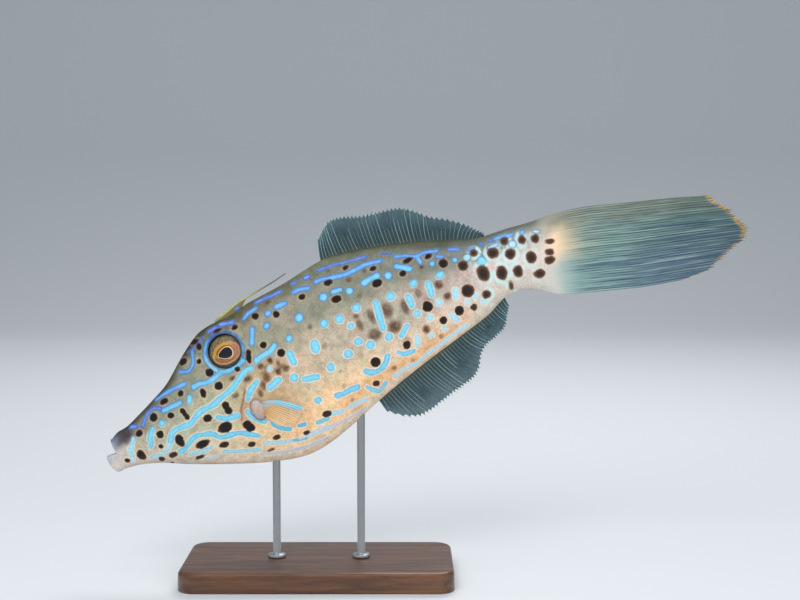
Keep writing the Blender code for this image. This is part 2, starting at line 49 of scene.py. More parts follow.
mm = 0.001
pose = {
    "snoutX": -184.3, "snoutZ": 116.0, "headPitch": 23.5, "tailPitch": 8.0,
    "bendFrom": 360.0, "bendTo": 425.0, "sway": 8.0, "swayFrom": 330.0, "axisEnd": 640.0,
}
body = {
    "top": [(2, 7), (10, 11.3), (20, 12.8), (33, 17.7), (50, 24.9), (68, 33.5), (90, 50), (110, 62.7),
            (124, 66.2), (143, 66.6), (162, 70.5), (199, 73.9), (238, 79.5), (257, 77.3), (290, 70),
            (325, 59.7), (355, 48.9), (375, 42.5), (395, 42.4), (410, 43.5), (427, 47.2), (436, 48.2)],
    "bottom": [(2, -21), (16, -23), (26, -25.8), (39, -30.9), (56, -39.5), (80, -50), (103, -59.4),
               (124, -67), (149, -73.7), (165, -74.9), (183, -72.4), (204, -66.4), (227, -58.5),
               (250, -51), (290, -40), (325, -31.6), (355, -24), (375, -15.5), (390, -13.5),
               (400, -14.8), (410, -17.7), (427, -23.7), (436, -24.2)],
    "width": [(2, 6.6), (20, 8.6), (45, 10.2), (80, 13), (115, 16.4), (145, 19), (180, 22), (200, 22.4),
              (220, 22), (250, 20), (290, 16), (330, 11.6), (360, 8.8), (390, 6.6), (410, 5.0),
              (420, 3.4), (427, 2.15), (432, 1.25), (436, 0.7)],
    "keelPower": 1.12, "tall": 3.3, "around": 212, "headStep": 0.85, "trunkStep": 1.16,
    "headEnd": 165.0, "end": 436.0,
}
eye = {
    "s": 129.5, "h": 40.3, "radius": 15.4, "halfDepth": 8.0, "proud": 1.6,
    "bulge": 2.2, "bulgeSpread": 17.0,
}


# Curves and the bent axis

def smoothLine(points, x):
    xs, ys = np.array(points, dtype=float).T
    slopes = np.empty_like(ys)
    slopes[1:-1] = (ys[2:] - ys[:-2]) / (xs[2:] - xs[:-2])
    slopes[0] = (ys[1] - ys[0]) / (xs[1] - xs[0])
    slopes[-1] = (ys[-1] - ys[-2]) / (xs[-1] - xs[-2])
    x = np.clip(x, xs[0], xs[-1])
    i = np.clip(np.searchsorted(xs, x, "right") - 1, 0, len(xs) - 2)
    span = xs[i + 1] - xs[i]
    t = (x - xs[i]) / span
    rise = ys[i + 1] - ys[i]
    bow = slopes[i] * span - rise
    level = rise - slopes[i + 1] * span
    return ys[i] + t * rise + t * (1 - t) * ((1 - t) * bow + t * level)


def ease(t):
    t = np.clip(t, 0.0, 1.0)
    return t * t * (3 - 2 * t)


def hill(x, at, wide):
    return np.exp(-((x - at) / wide) ** 2)


def pitchAt(s):
    share = ease((s - pose["bendFrom"]) / (pose["bendTo"] - pose["bendFrom"]))
    return np.radians(pose["headPitch"] + (pose["tailPitch"] - pose["headPitch"]) * share)


axisS = np.arange(0.0, pose["axisEnd"] + 1.0)
axisSteps = pitchAt(axisS[:-1] + 0.5)
axisX = pose["snoutX"] + np.concatenate([[0], np.cumsum(np.cos(axisSteps))])
axisZ = pose["snoutZ"] + np.concatenate([[0], np.cumsum(np.sin(axisSteps))])


def swayAt(s):
    back = np.maximum(s - pose["swayFrom"], 0.0) / (pose["axisEnd"] - pose["swayFrom"])
    return pose["sway"] * back * back


def place(s, h, y):
    # world points in metres
    s, h, y = np.broadcast_arrays(np.asarray(s, float), np.asarray(h, float), np.asarray(y, float))
    ahead = np.minimum(s, 0.0)
    angle = pitchAt(s)
    x = np.interp(s, axisS, axisX) + ahead * np.cos(angle) - h * np.sin(angle)
    z = np.interp(s, axisS, axisZ) + ahead * np.sin(angle) + h * np.cos(angle)
    return np.stack([x, y - swayAt(s), z], axis=-1) * mm


def sectionAt(s):
    top = smoothLine(body["top"], s)
    bottom = smoothLine(body["bottom"], s)
    return (top + bottom) / 2, (top - bottom) / 2, smoothLine(body["width"], s)


def plainSide(s, h, width, sine):
    # half the body's width without its fine forms, with the swelling round the eye
    bulge = eye["bulge"] * hill(np.hypot(s - eye["s"], h - eye["h"]), 0.0, eye["bulgeSpread"])
    return width * sine ** body["keelPower"] + bulge * np.minimum(sine * 2, 1.0)


def sideWidth(s, h):
    middle, half, width = sectionAt(s)
    cosine = np.clip((h - middle) / half, -1.0, 1.0)
    return plainSide(s, h, width, np.sqrt(1.0 - cosine * cosine))


def unit(vector):
    return vector / np.linalg.norm(vector)


# Meshes

def addObject(name, data):
    obj = bpy.data.objects.new(name, data)
    bpy.context.scene.collection.objects.link(obj)
    return obj


def meshObject(name, points, faces):
    mesh = bpy.data.meshes.new(name)
    mesh.from_pydata(np.asarray(points, float).reshape(-1, 3).tolist(), [], faces)
    mesh.validate()
    mesh.shade_smooth()
    return addObject(name, mesh)


def faceOut(obj):
    bm = bmesh.new()
    bm.from_mesh(obj.data)
    bm.normal_update()
    bmesh.ops.recalc_face_normals(bm, faces=bm.faces[:])
    bm.to_mesh(obj.data)
    bm.free()


def setField(obj, name, values):
    field = obj.data.attributes.new(name, "FLOAT", "POINT")
    field.data.foreach_set("value", np.asarray(values, np.float32).ravel())


def dress(obj, material, slotName, *nodes):
    # its material, a slot name that is not used, the nodes it stands for and the body it rides on
    obj.data.materials.clear()
    obj.data.materials.append(material)
    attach(obj, "root")
    if nodes:
        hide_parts(*nodes)
    return obj


def ringFaces(rows, around):
    # a closed surface of rings, whose two end points come after the rings' points
    index = np.arange(rows * around).reshape(rows, around)
    after = np.roll(index, -1, axis=1)
    faces = np.stack([index[:-1], after[:-1], after[1:], index[1:]], axis=-1).reshape(-1, 4).tolist()
    faces += [(rows * around, int(after[0, k]), int(index[0, k])) for k in range(around)]
    return faces + [(rows * around + 1, int(index[-1, k]), int(after[-1, k])) for k in range(around)]


def sheetMesh(name, spots, half, fields):
    # a thin closed sheet from a grid of spots (s, h, y), as thick as half says on each side
    cols, rows = spots.shape[:2]
    low = place(spots[..., 0], spots[..., 1], spots[..., 2] - half)
    high = place(spots[..., 0], spots[..., 1], spots[..., 2] + half)
    count = cols * rows
    index = np.arange(count).reshape(cols, rows)
    a, b = index[:-1, :-1].ravel(), index[1:, :-1].ravel()
    c, d = index[1:, 1:].ravel(), index[:-1, 1:].ravel()
    faces = np.stack([a, b, c, d], axis=1).tolist()
    faces += np.stack([d + count, c + count, b + count, a + count], axis=1).tolist()
    edge = np.concatenate([index[:, 0], index[-1, 1:], index[-2::-1, -1], index[0, -2:0:-1]])
    after = np.roll(edge, -1)
    faces += np.stack([after, edge, edge + count, after + count], axis=1).tolist()
    obj = meshObject(name, np.concatenate([low.reshape(-1, 3), high.reshape(-1, 3)]), faces)
    for key, values in fields.items():
        setField(obj, key, np.tile(np.broadcast_to(values, (cols, rows)).ravel(), 2))
    faceOut(obj)
    return obj


# Shader helpers. They add to the node tree that is named here, which newMaterial changes.

shading = {"tree": None}


def connect(node, values):
    # links each socket to the node's input, or sets a plain value there
    for key, value in values.items():
        if isinstance(value, bpy.types.NodeSocket):
            shading["tree"].links.new(value, node.inputs[key])
        else:
            node.inputs[key].default_value = value
    return node


def addNode(kind, values=None, **settings):
    node = shading["tree"].nodes.new(kind)
    for key, value in settings.items():
        setattr(node, key, value)
    return connect(node, values or {})


def newMaterial(name):
    material = bpy.data.materials.new(name)
    material.use_nodes = True
    shading["tree"] = material.node_tree
    return material, material.node_tree.nodes["Principled BSDF"]


def field(name):
    return addNode("ShaderNodeAttribute", attribute_name=name).outputs["Fac"]


def maths(operation, a, b=0.0, c=0.0):
    return addNode("ShaderNodeMath", {0: a, 1: b, 2: c}, operation=operation).outputs[0]


def times(first, *others):
    for other in others:
        first = maths("MULTIPLY", first, other)
    return first


def scaled(value, factor, shift):
    return maths("MULTIPLY_ADD", value, factor, shift)


def spread(value, low, high, start=0.0, end=1.0):
    # value from low to high becomes start to end, with soft ends
    return addNode("ShaderNodeMapRange", {0: value, 1: low, 2: high, 3: start, 4: end},
                   interpolation_type="SMOOTHSTEP").outputs[0]


def window(value, low, up, down, high):
    # rises from low to up and falls from down to high
    return times(spread(value, low, up), spread(value, high, down))


def blend(share, a, b, way="MIX"):
    return addNode("ShaderNodeMix", {0: share, 6: a, 7: b}, data_type="RGBA", blend_type=way).outputs[2]


def layered(colour, *layers):
    # lays (share, tone) after (share, tone) over the colour
    for share, tone in layers:
        colour = blend(share, colour, tone)
    return colour


def objectSpots():
    return addNode("ShaderNodeTexCoord").outputs["Object"]


def noise(scale, detail=2.0, rough=0.5):
    values = {"Vector": objectSpots(), "Scale": scale, "Detail": detail, "Roughness": rough}
    return addNode("ShaderNodeTexNoise", values).outputs["Fac"]


def waver(scale, detail=2.0):
    # noise about nought
    return maths("SUBTRACT", noise(scale, detail), 0.5)


def paint(red, green, blue):
    # a screen colour, 0 to 255, as the shader's linear colour
    channels = []
    for value in (red, green, blue):
        share = value / 255
        channels.append(share / 12.92 if share <= 0.04045 else ((share + 0.055) / 1.055) ** 2.4)
    return (*channels, 1.0)


def ramp(value, stops, end=1.0, start=0.0):
    # each stop is a place from start to end, and its red, green and blue
    node = addNode("ShaderNodeValToRGB", {0: maths("DIVIDE", maths("SUBTRACT", value, start), end - start)})
    elements = node.color_ramp.elements
    rows = [((spot - start) / (end - start), paint(*colour)) for spot, *colour in stops]
    elements[0].position, elements[0].color = rows[0]
    elements[1].position, elements[1].color = rows[-1]
    for spot, colour in rows[1:-1]:
        elements.new(spot).color = colour
    return node.outputs[0]


# Markings: strokes of blue as (radius, shade, s and h of each point) and dark spots as (s, h, radius
# along, radius up)
# Shades run from 0, violet, through 0.5, sky blue, and 1, pale, to 1.5, lilac grey. The violet and the darker
# sky blue of marks high on the body are painted light, for how the light falls there

blueStrokes = [
    (2, 0, 24.4, 11.2, 29, 9.9), (1.6, .1, 35.4, 8.6, 39.2, 12.9, 43.8, 16.8, 49.8, 18.6, 55.1, 16.4),
    (2.4, .42, 57.8, 13.3, 66.9, 13.8, 74.5, 14.2), (2, .35, 55, 24.4, 63.5, 26.4, 75.1, 27.6, 85, 28),
    (2.9, .5, 52.2, 3.9, 52.6, 4), (2.9, .5, 84.6, 15.2, 82.6, 11.8),
    (2.2, .5, 42.4, 2.6, 39, -1, 36.2, -5, 36.8, -8.6, 33.9, -11.4),
    (2.1, .75, 23, 1.4, 19.2, -3.6, 16.1, -8.1, 15.3, -13), (1.7, 1.2, 15.3, -13, 14.1, -17.5),
    (2.55, .5, 145.6, 17.7, 139.4, 17.4, 132.7, 13.8, 125.5, 9.2, 117.1, 5.9, 108.4, 3.7, 101, 1, 90.5, .2,
     82.8, -2.4, 75.8, -6.4, 67.8, -6.2, 61.1, -6.3, 56.4, -8.6, 52.7, -13.7),
    (1.8, .8, 52.7, -13.7, 48.7, -17.9, 42.8, -21.2, 36.7, -21.6, 31.1, -20.9),
    (2.3, .5, 56.3, -26, 62, -25.5, 67.7, -21.7, 74.1, -18.9, 81.9, -19.7, 90.6, -22.9, 94.4, -28, 103.2,
     -29.7, 112.1, -31, 120.4, -35.9, 126.7, -40.1),
    (1.8, .8, 63.4, -31.6, 70.3, -32.8, 78.1, -33.6, 84.4, -32.7), (1.2, 1.3, 75.1, -40.8, 84.6, -43),
    (2.5, .36, 91.5, 22.3, 96.9, 22.9, 104.1, 21.6, 110.3, 21.9, 117.3, 24, 126.5, 23.5, 135.5, 24.3, 141.6,
    26.4), (1.2, .1, 115.1, 58.6, 109.5, 55.9, 103.9, 52.7, 98.6, 52.4),
    (1.6, .35, 102, 50.5, 100.5, 45, 98, 40.2, 93.5, 36.9, 89.1, 37.6, 84.2, 39.3),
    (1.8, .05, 122.3, 61.5, 130.1, 62.5), (2, .05, 134.3, 63.2, 145.4, 61), (1.5, .1, 153, 68.5, 153.4, 68.5),
    (2, .35, 156.1, 59.8, 161.6, 62.5, 169.5, 63.8), (2.1, .5, 159.8, 48.6, 157.5, 43.2, 154.6, 37.6),
    (3.1, .5, 172.6, 46.2, 173, 46.3), (2.8, .45, 178, 55.7, 178.4, 55.7),
    (2.6, .4, 187.1, 58.1, 195.5, 57.8), (2.8, .5, 152.8, 22.3, 161.2, 23.9, 167.7, 25, 172.3, 27.7),
    (2.2, .8, 160.3, 11, 160.8, 11), (2.5, .5, 145.2, 4.9, 138, .3, 131.9, -5.6),
    (2.8, .5, 163.6, -1, 154.3, -4), (3.1, .5, 181.8, 15.8, 182.3, 8.2), (3, .5, 186.7, 28.3, 187, 28.5),
    (3.6, .5, 202, 41.8, 202.5, 42), (3.8, .5, 220.1, 28.3, 220.4, 28.4), (3.7, .5, 205.6, 15.6, 204.6, 10.8),
    (3.4, .5, 176.9, -4.5, 177.2, -4.5), (2.9, .5, 185.1, -9.6, 195.7, -12.4),
    (3.2, .55, 188.1, -31.4, 188.5, -31.3), (3.8, .5, 210, -9, 210.4, -9),
    (2.4, .5, 100.6, -11, 107.4, -14.5, 117.1, -16.2), (2.2, .5, 127.1, -16.8, 129.9, -24.2, 137.6, -30.2),
    (2.2, .5, 143, -34.8, 147.6, -41.3, 154.7, -45.4), (2, .35, 163.4, -45.9, 168.2, -46.6),
    (1.9, .85, 129.1, -48, 139.3, -52.6, 150.5, -55.9), (1.6, .4, 154.2, -56.6, 163.8, -58.9),
    (1.6, 1.25, 166.5, -58.6, 176, -58.4, 189.5, -58.9), (1.8, .8, 91.4, -41.2, 105.4, -46.6, 122.3, -52),
    (1.4, 1.45, 121.4, -57.3, 145.2, -63.9, 161.7, -66.7, 183.6, -66.6), (1.8, .6, 179.8, -49.8, 189, -50),
    (1.9, .05, 171.2, 68.4, 181.4, 68.6, 195.2, 68.7), (2.2, .3, 204.9, 63.6, 212.8, 63.6, 219.8, 61.9),
    (1.6, .05, 207, 71, 210.4, 71), (2.2, .05, 220, 71.1, 222.4, 71.1),
    (1.4, .1, 233, 72.5, 239.9, 72.5, 251.3, 71, 263.3, 68.8, 277.2, 67.1),
    (2.1, .35, 227.8, 64.5, 234.5, 64.1, 243.9, 61.8, 251, 60.3, 257.7, 60, 265.8, 60.5, 272.8, 60.8, 286.3,
    58.7), (3.4, .5, 228.8, 49.8, 229.2, 49.9), (2.6, .5, 238.1, 50.5, 244.6, 49.7),
    (3.4, .5, 251.4, 45.5, 251.8, 45.6), (3.9, .5, 251.2, 29.2, 251.5, 29.2),
    (3.4, .5, 234.2, 26.7, 234.5, 26.7), (2.8, .5, 266.1, 46.5, 271.5, 48, 279.1, 47.7),
    (2.7, .5, 268.9, 27, 266.9, 13, 265.9, 3.8), (3, .5, 240.8, 17, 241, 17),
    (3.2, .5, 287.9, 44.1, 288.3, 44.1), (.9, .1, 290, 63.6, 298.1, 60.7),
    (1.7, .3, 300.5, 56.7, 310, 53.2, 317.7, 49.3, 324.9, 49.7, 335.9, 46.6),
    (1.9, .4, 318, 47.3, 318.7, 43.6), (2.5, .5, 298, 48.5, 307.5, 42), (2.6, .5, 327.6, 38.5, 327.9, 38.5),
    (1.8, .25, 334, 42.2, 338.4, 40.2), (1.7, .15, 346.1, 43.4, 354.1, 40.2),
    (2.6, .5, 347, 33.1, 347.3, 33.1), (3, .8, 357.6, 30.8, 358, 30.8), (1.2, .1, 361.5, 36.5, 366.5, 36.5),
    (3.6, .5, 305.3, 28.9, 305.6, 29), (3.8, .5, 282.8, 26.9, 283.2, 27),
    (2.9, .55, 328.7, 26.4, 331.3, 26.4), (2.6, .5, 317.4, 23, 316.4, 14.1),
    (2.6, .8, 336.9, 8.7, 335.3, 2.4), (2.6, .5, 296.7, 20.3, 296.9, 12.3),
    (3.3, .55, 267.3, -5.4, 267.7, -5.4), (2.4, .55, 285.6, -2.6, 277.8, -8.7),
    (3.2, .6, 297.7, 3.5, 298, 3.5), (3.4, .8, 306.8, -4.5, 307.1, -4.5), (3.3, .8, 319.2, 4.7, 319.5, 4.7),
    (2.6, .85, 290.2, -16.2, 287.5, -22.4), (2.6, .85, 302, -19.3, 302.3, -19.3),
    (2.4, .85, 315.3, -18.7, 315.6, -18.7), (2.4, .85, 325.6, -10.6, 328, -15.9),
    (2.8, .85, 342.5, -5.4, 342.8, -5.4), (2.4, .85, 351, -2.8, 351.3, -2.8),
    (3, .85, 356.4, -10.9, 356.7, -10.9), (2, .6, 269.6, -21.4, 273.7, -25.3, 281.9, -25.7),
    (2.5, .55, 259.4, -20.5, 255.2, -25.6, 247.8, -29.2, 242.1, -28.7, 236.8, -25),
    (1.8, 1.05, 335, -24.1, 321.3, -26.6, 304.8, -30.9, 293.3, -33.2, 281, -37.4, 269.4, -37.5, 257.9, -39.8),
    (2, .65, 231.9, -38.6, 235.8, -43.3, 240.6, -46.8, 248, -42.2),
    (2.6, .45, 205, -34.7, 210.7, -35.3, 217.9, -34.4, 224.5, -35.3), (3.9, .5, 228.4, -4.5, 228.8, -4.5),
    (3.5, .5, 241.3, 2.2, 241.6, 2.2), (4, .5, 249.9, -5.1, 250.2, -5.1),
    (2, 1.1, 210.4, -49.5, 217.8, -48.3, 225.7, -48.2), (2.4, .85, 195.4, -47.8, 203.5, -49.4),
    (1.3, 1.4, 158.6, -57.5, 178.8, -56.4, 197.6, -58.6, 213.8, -57.4, 222.5, -55.7),
    (4, .55, 368, 22.5, 368.3, 22.5), (3, .9, 395, 28, 395.3, 28), (2, .6, 404, 36, 404.3, 36),
    (1.6, .4, 384, 37, 397, 36), (1.8, .8, 378, 31, 384, 31.5), (1.3, .1, 380, 36.5, 381, 36.5),
    (1.2, .1, 372.5, 36.5, 373.5, 36.5), (1.2, .95, 413, 35, 417, 34),
]
darkSpots = [
    (9.4, -14.8, 2, 2), (23.4, -15.4, 3.4, 5), (29.6, 3.6, 2.9, 2.7), (47, 11.7, 3.5, 3.5), (62, 7, 2.7, 2.6),
    (61.5, 20.9, 3.9, 2.6), (78.2, 21.4, 2.6, 2.6), (73.5, 6.5, 2.4, 2.4), (75.1, .3, 2.2, 2.6),
    (46.6, -4.6, 3.1, 3.1), (42.8, -14.6, 2, 2), (60.5, -16.7, 3.6, 5.6), (91.9, -8.2, 3.6, 3.4),
    (97.1, 14.3, 2.3, 3.8), (77.5, -27.4, 6.4, 3.2), (49.5, -26.3, 4, 2.5), (38.3, -25.5, 2.5, 2.3),
    (70.2, -37.7, 4.4, 1.6), (44.5, -32.7, 1.5, 1.2), (175.6, 19.8, 3.5, 3.5), (163.8, 32.3, 2.9, 2.9),
    (147.8, 28.2, 2, 3.4), (149.1, 31.2, 1.7, 3), (146.5, 25.2, 1.7, 3), (148.5, 29.8, 1.9, 3.2),
    (147.1, 26.6, 1.9, 3.2), (134.2, 21.5, 2.2, 2.2), (110, 28.6, 3.5, 3.5), (112.7, 14.5, 3.4, 3.4),
    (104.9, 40.9, 2, 2), (109.5, 52.9, 2.6, 3.2), (130.5, 59.3, 3.8, 1.8), (146, 56, 2.8, 2),
    (106.8, 58.5, 5, 2.5), (91, 46.2, 4.4, 3), (166.4, 58, 3.3, 3), (184.5, 52.1, 2.9, 2.9),
    (111.3, -3.3, 3.3, 3), (112, -9.1, 3.2, 3), (102.5, -21.4, 6.5, 4.3), (122, -27, 3.8, 3.7),
    (123.6, -30.2, 3.7, 3.6), (95.3, -35.6, 4.2, 2.5), (117.7, -44.8, 3.6, 2.3), (141.1, -47.8, 3.2, 2.2),
    (166.7, -54.5, 2.6, 1.6), (190, -45.9, 3.9, 2.9), (237, 59.4, 3.7, 2.8), (256.4, 65.4, 3, 1.8),
    (278.2, 55.3, 2.8, 2.1), (238.4, 43.7, 4.2, 3.2), (211.2, 57.4, 3, 2.4), (276.7, 42.1, 4.3, 3.2),
    (309, 49.5, 4.7, 2.1), (327, 45.2, 3.4, 2.1), (300.5, 40.6, 2.7, 2.7), (336.7, 34.5, 3.7, 3.7),
    (351.5, 25.5, 4.1, 4.1), (364.7, 32, 2.5, 2.5), (346.8, 3.9, 5.4, 5.2), (365.5, 12.5, 4.8, 6.4),
    (360.7, -5.8, 3.3, 3.3), (346.2, -12, 2.6, 2.6), (333.1, -9.5, 4, 4), (316.9, -11.5, 3.2, 3.2),
    (309.1, 5.5, 4.4, 4.4), (278.8, -18.3, 3.4, 3.4), (247.6, -21, 4.2, 4.2), (240.7, -38.9, 2.9, 2.9),
    (378.9, 25.7, 4.2, 4.2), (389.8, 32.3, 2.8, 2.8), (391.5, 20.1, 4, 4), (402.7, 29.6, 2.4, 3),
    (412.9, 28.4, 3.2, 3.2), (425.2, 24.3, 3, 1.8), (423.6, 15, 3.2, 2.4), (422.9, 7.9, 4, 3),
    (407.3, 13, 4, 4.8), (393.9, 3.5, 3.8, 4.6), (380.2, 6.5, 4.4, 5.4), (411.8, -2.6, 4.2, 3.3),
    (384.5, -7, 1.2, 2.6), (74.3, 3.4, 1.7, 2.2), (111.6, -6.2, 2.6, 2),
]
# brown smudges as (s, h, radius along, radius up, depth)
smudges = [
    (248.3, 22.8, 2.7, 2.3, .85), (248.2, 14.4, 2.8, 5.6, .85), (260.4, 17.5, 3, 6.8, .85),
    (275.1, 16.9, 5.2, 6.8, .85), (290.6, 12.8, 3.2, 7, .85), (275.5, 1, 6.4, 5.8, .9),
    (257, 1.7, 6.4, 5.4, .85), (306.1, 19.6, 3.2, 4, .7), (299.9, -12.8, 3.6, 4.2, .95),
    (280.5, -15.5, 4, 5, .5), (310, 8.5, 4, 5.5, .5), (325.5, 18.9, 4.2, 4.2, .95), (328.6, 7, 3.5, 3.5, .95),
    (207.6, 30.4, 2.2, 2.2, .7), (212.9, 10.1, 2.6, 2.6, .5), (154, 15.9, 3, 2.6, 1),
    (158.5, 13.2, 2.6, 1.6, .8), (169.5, 12.4, 1.8, 3, .8), (163.6, 17.5, 2.6, 3.4, 1),
    (173.9, 5.6, 3.4, 2.8, 1), (166.6, 5.8, 2.8, 3.4, 1), (139, 10.2, 4.4, 2.8, .95),
    (126.6, 15.9, 3.2, 2.2, .9), (155.1, 5, 3.6, 5, .9), (149.4, -.7, 3, 4.2, .85),
    (144.2, -5.6, 2.6, 3.8, .8), (123.2, 1.1, 3.4, 2.8, .8), (260.5, -32.8, 2.5, 2.5, .7),
    (309.5, -24.1, 2.4, 2.4, .6), (278, -33.4, 2.5, 2.5, .5), (213.8, -29.2, 2.3, 2.3, .5),
    (215.3, -43.7, 1.8, 1.8, .6), (238.2, -10.3, 3.2, 3.2, .4), (258.4, 38.1, 2.6, 2.2, .5),
    (270.4, 56.3, 2, 1.5, .8), (241.4, 68.6, 1.5, 1.3, .8), (216.8, -15.5, 1.2, 1.2, .8),
    (255.1, 54.8, 3, 2.6, .8), (181.1, 64.5, 2.2, 1.6, .9), (318, 39.2, 2.2, 2, .9),
    (131.2, -56.4, 4, 1.5, 1.05), (154.8, 9.6, 4.6, 1.9, .55), (151.6, 2.2, 3.4, 2.2, .6),
    (171.2, 8.6, 4.4, 2.6, .7), (163.2, 8.8, 3.2, 2, .5), (18.4, 7.0, 5.2, 4.4, .85),
    (16.4, 2.6, 3.2, 4.2, .6),
]
# how far the right side's marks are moved, how far a mark reaches, and the ring round the eye
marks = {
    "step": 2.0, "shift": 1.6, "reach": 16.0, "far": 20.0, "midPlane": 0.0004, "seed": 11,
    "ringArcs": 36, "ringInner": 15.6, "ringOuter": 18.7, "ringWider": 1.2, "ringNarrower": 0.9,
}


def smoothRoute(points):
    # a route of three or more points as a smooth curve
    points = np.asarray(points, float)
    if len(points) < 3:
        return points
    along = np.concatenate([[0], np.cumsum(np.hypot(*np.diff(points, axis=0).T))])
    at = np.linspace(0, along[-1], int(along[-1] / marks["step"]) + 2)
    return np.column_stack([smoothLine(np.column_stack([along, points[:, k]]), at) for k in (0, 1)])


def segmentDistance(points, a, b):
    # distance to a segment, and the share of it that is nearest
    run = b - a
    share = np.clip((points - a) @ run / max(run @ run, 1e-18), 0.0, 1.0)
    return np.linalg.norm(points - a - share[:, None] * run, axis=1), share


def ovalShare(points, oval, along, up):
    # 1 on the rim of an oval spot on the skin, less inside it, and far more off its plane
    centre, toEnd, toSide = oval
    offset = (points - centre) / mm
    off = np.maximum(np.abs(offset @ np.cross(toEnd, toSide)) - 6, 0)
    return np.sqrt((offset @ toEnd / along) ** 2 + (offset @ toSide / up) ** 2) + off


def ringStrokes():
    # the blue ring round the eye, as short arcs that widen to the front
    arcs = []
    for k in range(marks["ringArcs"]):
        turn = np.radians(360 / marks["ringArcs"] * k + np.array([-6, 0, 6]))
        front, top = max(-math.cos(turn[1]), 0), max(math.sin(turn[1]), 0)
        radius = (marks["ringOuter"] + marks["ringWider"] * front - marks["ringNarrower"] * top
                  - marks["ringInner"]) / 2
        middle = marks["ringInner"] + radius
        # painted light: the ring turns violet on top
        tone = 0.5 - 0.42 * max(math.cos(turn[1] - math.radians(95)), 0) + 0.2 * front
        route = [(eye["s"] + middle * math.cos(a), eye["h"] + middle * math.sin(a)) for a in turn]
        arcs.append((radius, tone, np.array(route)))
    return arcs


def drawnOval(s, h, side):
    # a spot's centre on the skin, and unit directions back along it and up it
    toEnd = unit(onSkin(s + 1, h, side) - onSkin(s - 1, h, side))
    toSide = onSkin(s, h + 1, side) - onSkin(s, h - 1, side)
    return onSkin(s, h, side), toEnd, unit(toSide - toEnd * (toSide @ toEnd))


def onSkin(s, h, side):
    middle, half, _ = sectionAt(s)
    h = np.clip(h, middle - half * 0.995, middle + half * 0.995)
    return place(s, h, side * sideWidth(s, h))


def drawMarkings(s, points, rng):
    # for each skin point, its distances to the blue and dark marks, the blue's shade and the smudge's depth
    blue, dark = (np.full(len(s), marks["far"]) for _ in range(2))
    shade, smudge = np.full(len(s), 0.5), np.zeros(len(s))
    for side in (-1, 1):
        nearSide = (points[:, 1] + swayAt(s) * mm) * side > -marks["midPlane"]

        def close(low, high):
            return np.nonzero(nearSide & (s > low - marks["reach"]) & (s < high + marks["reach"]))[0]

        def shifted():
            return rng.uniform(-marks["shift"], marks["shift"], 2) if side > 0 else np.zeros(2)

        def laidSpots(spots):
            # for each spot, the skin points near it and their share of its oval, and the rest of its row
            for cs, ch, along, up, *rest in spots:
                cs, ch = np.array([cs, ch]) + shifted()
                at = close(cs, cs)
                yield at, ovalShare(points[at], drawnOval(cs, ch, side), along, up), min(along, up), rest

        strokes = [(radius, tone, np.reshape(route, (-1, 2)) + shifted())
                   for radius, tone, *route in blueStrokes]
        for radius, tone, route in strokes + ringStrokes():
            spots = smoothRoute(route)
            at = close(spots[:, 0].min(), spots[:, 0].max())
            laid = np.array([onSkin(p[0], p[1], side) for p in spots])
            widths = radius * (0.98 + 0.1 * np.sin(np.arange(len(laid)) * 0.7 + radius * 9 + route[0][0]))
            for k in range(len(laid) - 1):
                d, share = segmentDistance(points[at], laid[k], laid[k + 1])
                d = d / mm - (widths[k] + (widths[k + 1] - widths[k]) * share)
                shade[at[d < blue[at]]] = tone
                blue[at] = np.minimum(blue[at], d)
        for at, rho, small, _ in laidSpots(darkSpots):
            dark[at] = np.minimum(dark[at], (rho - 1) * small)
        for at, rho, _, (depth,) in laidSpots(smudges):
            smudge[at] = np.maximum(smudge[at], depth * np.exp(-(rho / 1.02) ** 5))
    return blue, shade, dark, smudge


# Skin: head, trunk and the tail's fleshy root in one closed surface

lips = {
    "upper": [(0, 0, 0), (.2, .04, 2), (.4, .28, 1.4), (.65, .63, .3), (.85, .92, .1), (1, 1, -2)],
    "lower": [(0, 0, 0), (.3, .03, 8), (.55, .56, 11.5), (.75, 1.05, 10.8), (.88, 1.03, 5), (1, 1, -2)],
    "root": 4.0, "round": 0.6, "rings": 44,
    "slitMiddle": -4.55, "slitHalf": 0.65, "slitWidth": 5.9, "inside": [(6.0, 0.5), (3.0, 0.8), (1.2, 0.95)],
}
gill = {
    "path": [(132, 1), (129.3, -3), (126, -7.3), (123, -11), (120.6, -15.5), (119, -20.5)],
    "groove": 1.4, "grooveSpread": 1.1, "fold": 1.5, "foldBack": 2.4, "foldSpread": 1.7,
}
orbit = {
    "rim": 17.6, "rimSpread": 1.9, "rimHeight": 1.25, "socket": 16.0, "socketFall": 2.7,
    "socketDepth": 6.0, "moat": 22.5, "moatSpread": 2.0, "moatDepth": 0.5,
}
lobe = {"s": 136.5, "h": -18.3, "along": 6.4, "up": 9.6, "height": 3.0}
nostrils = [(104.9, 40.9, 1.5), (107.0, 46.3, 1.2)]
muscle = {"height": 0.35, "from": 150.0, "full": 40.0, "to": 430.0, "fade": 25.0}


def flatDistance(s, h, path):
    # distance to a path in the side view, below nought ahead of it
    best = np.full(s.shape, 99.0)
    behind = np.zeros(s.shape)
    for (s0, h0), (s1, h1) in zip(path, path[1:]):
        run = np.array([s1 - s0, h1 - h0])
        share = np.clip(((s - s0) * run[0] + (h - h0) * run[1]) / (run @ run), 0, 1)
        ds = s - s0 - share * run[0]
        dh = h - h0 - share * run[1]
        d = np.hypot(ds, dh)
        nearer = d < best
        best = np.where(nearer, d, best)
        behind = np.where(nearer, np.sign(dh * run[0] - ds * run[1]), behind)
    return best * np.where(behind > 0, 1.0, -1.0)


def lobeShareAt(s, h):
    return np.hypot((s - lobe["s"]) / lobe["along"], (h - lobe["h"]) / lobe["up"])


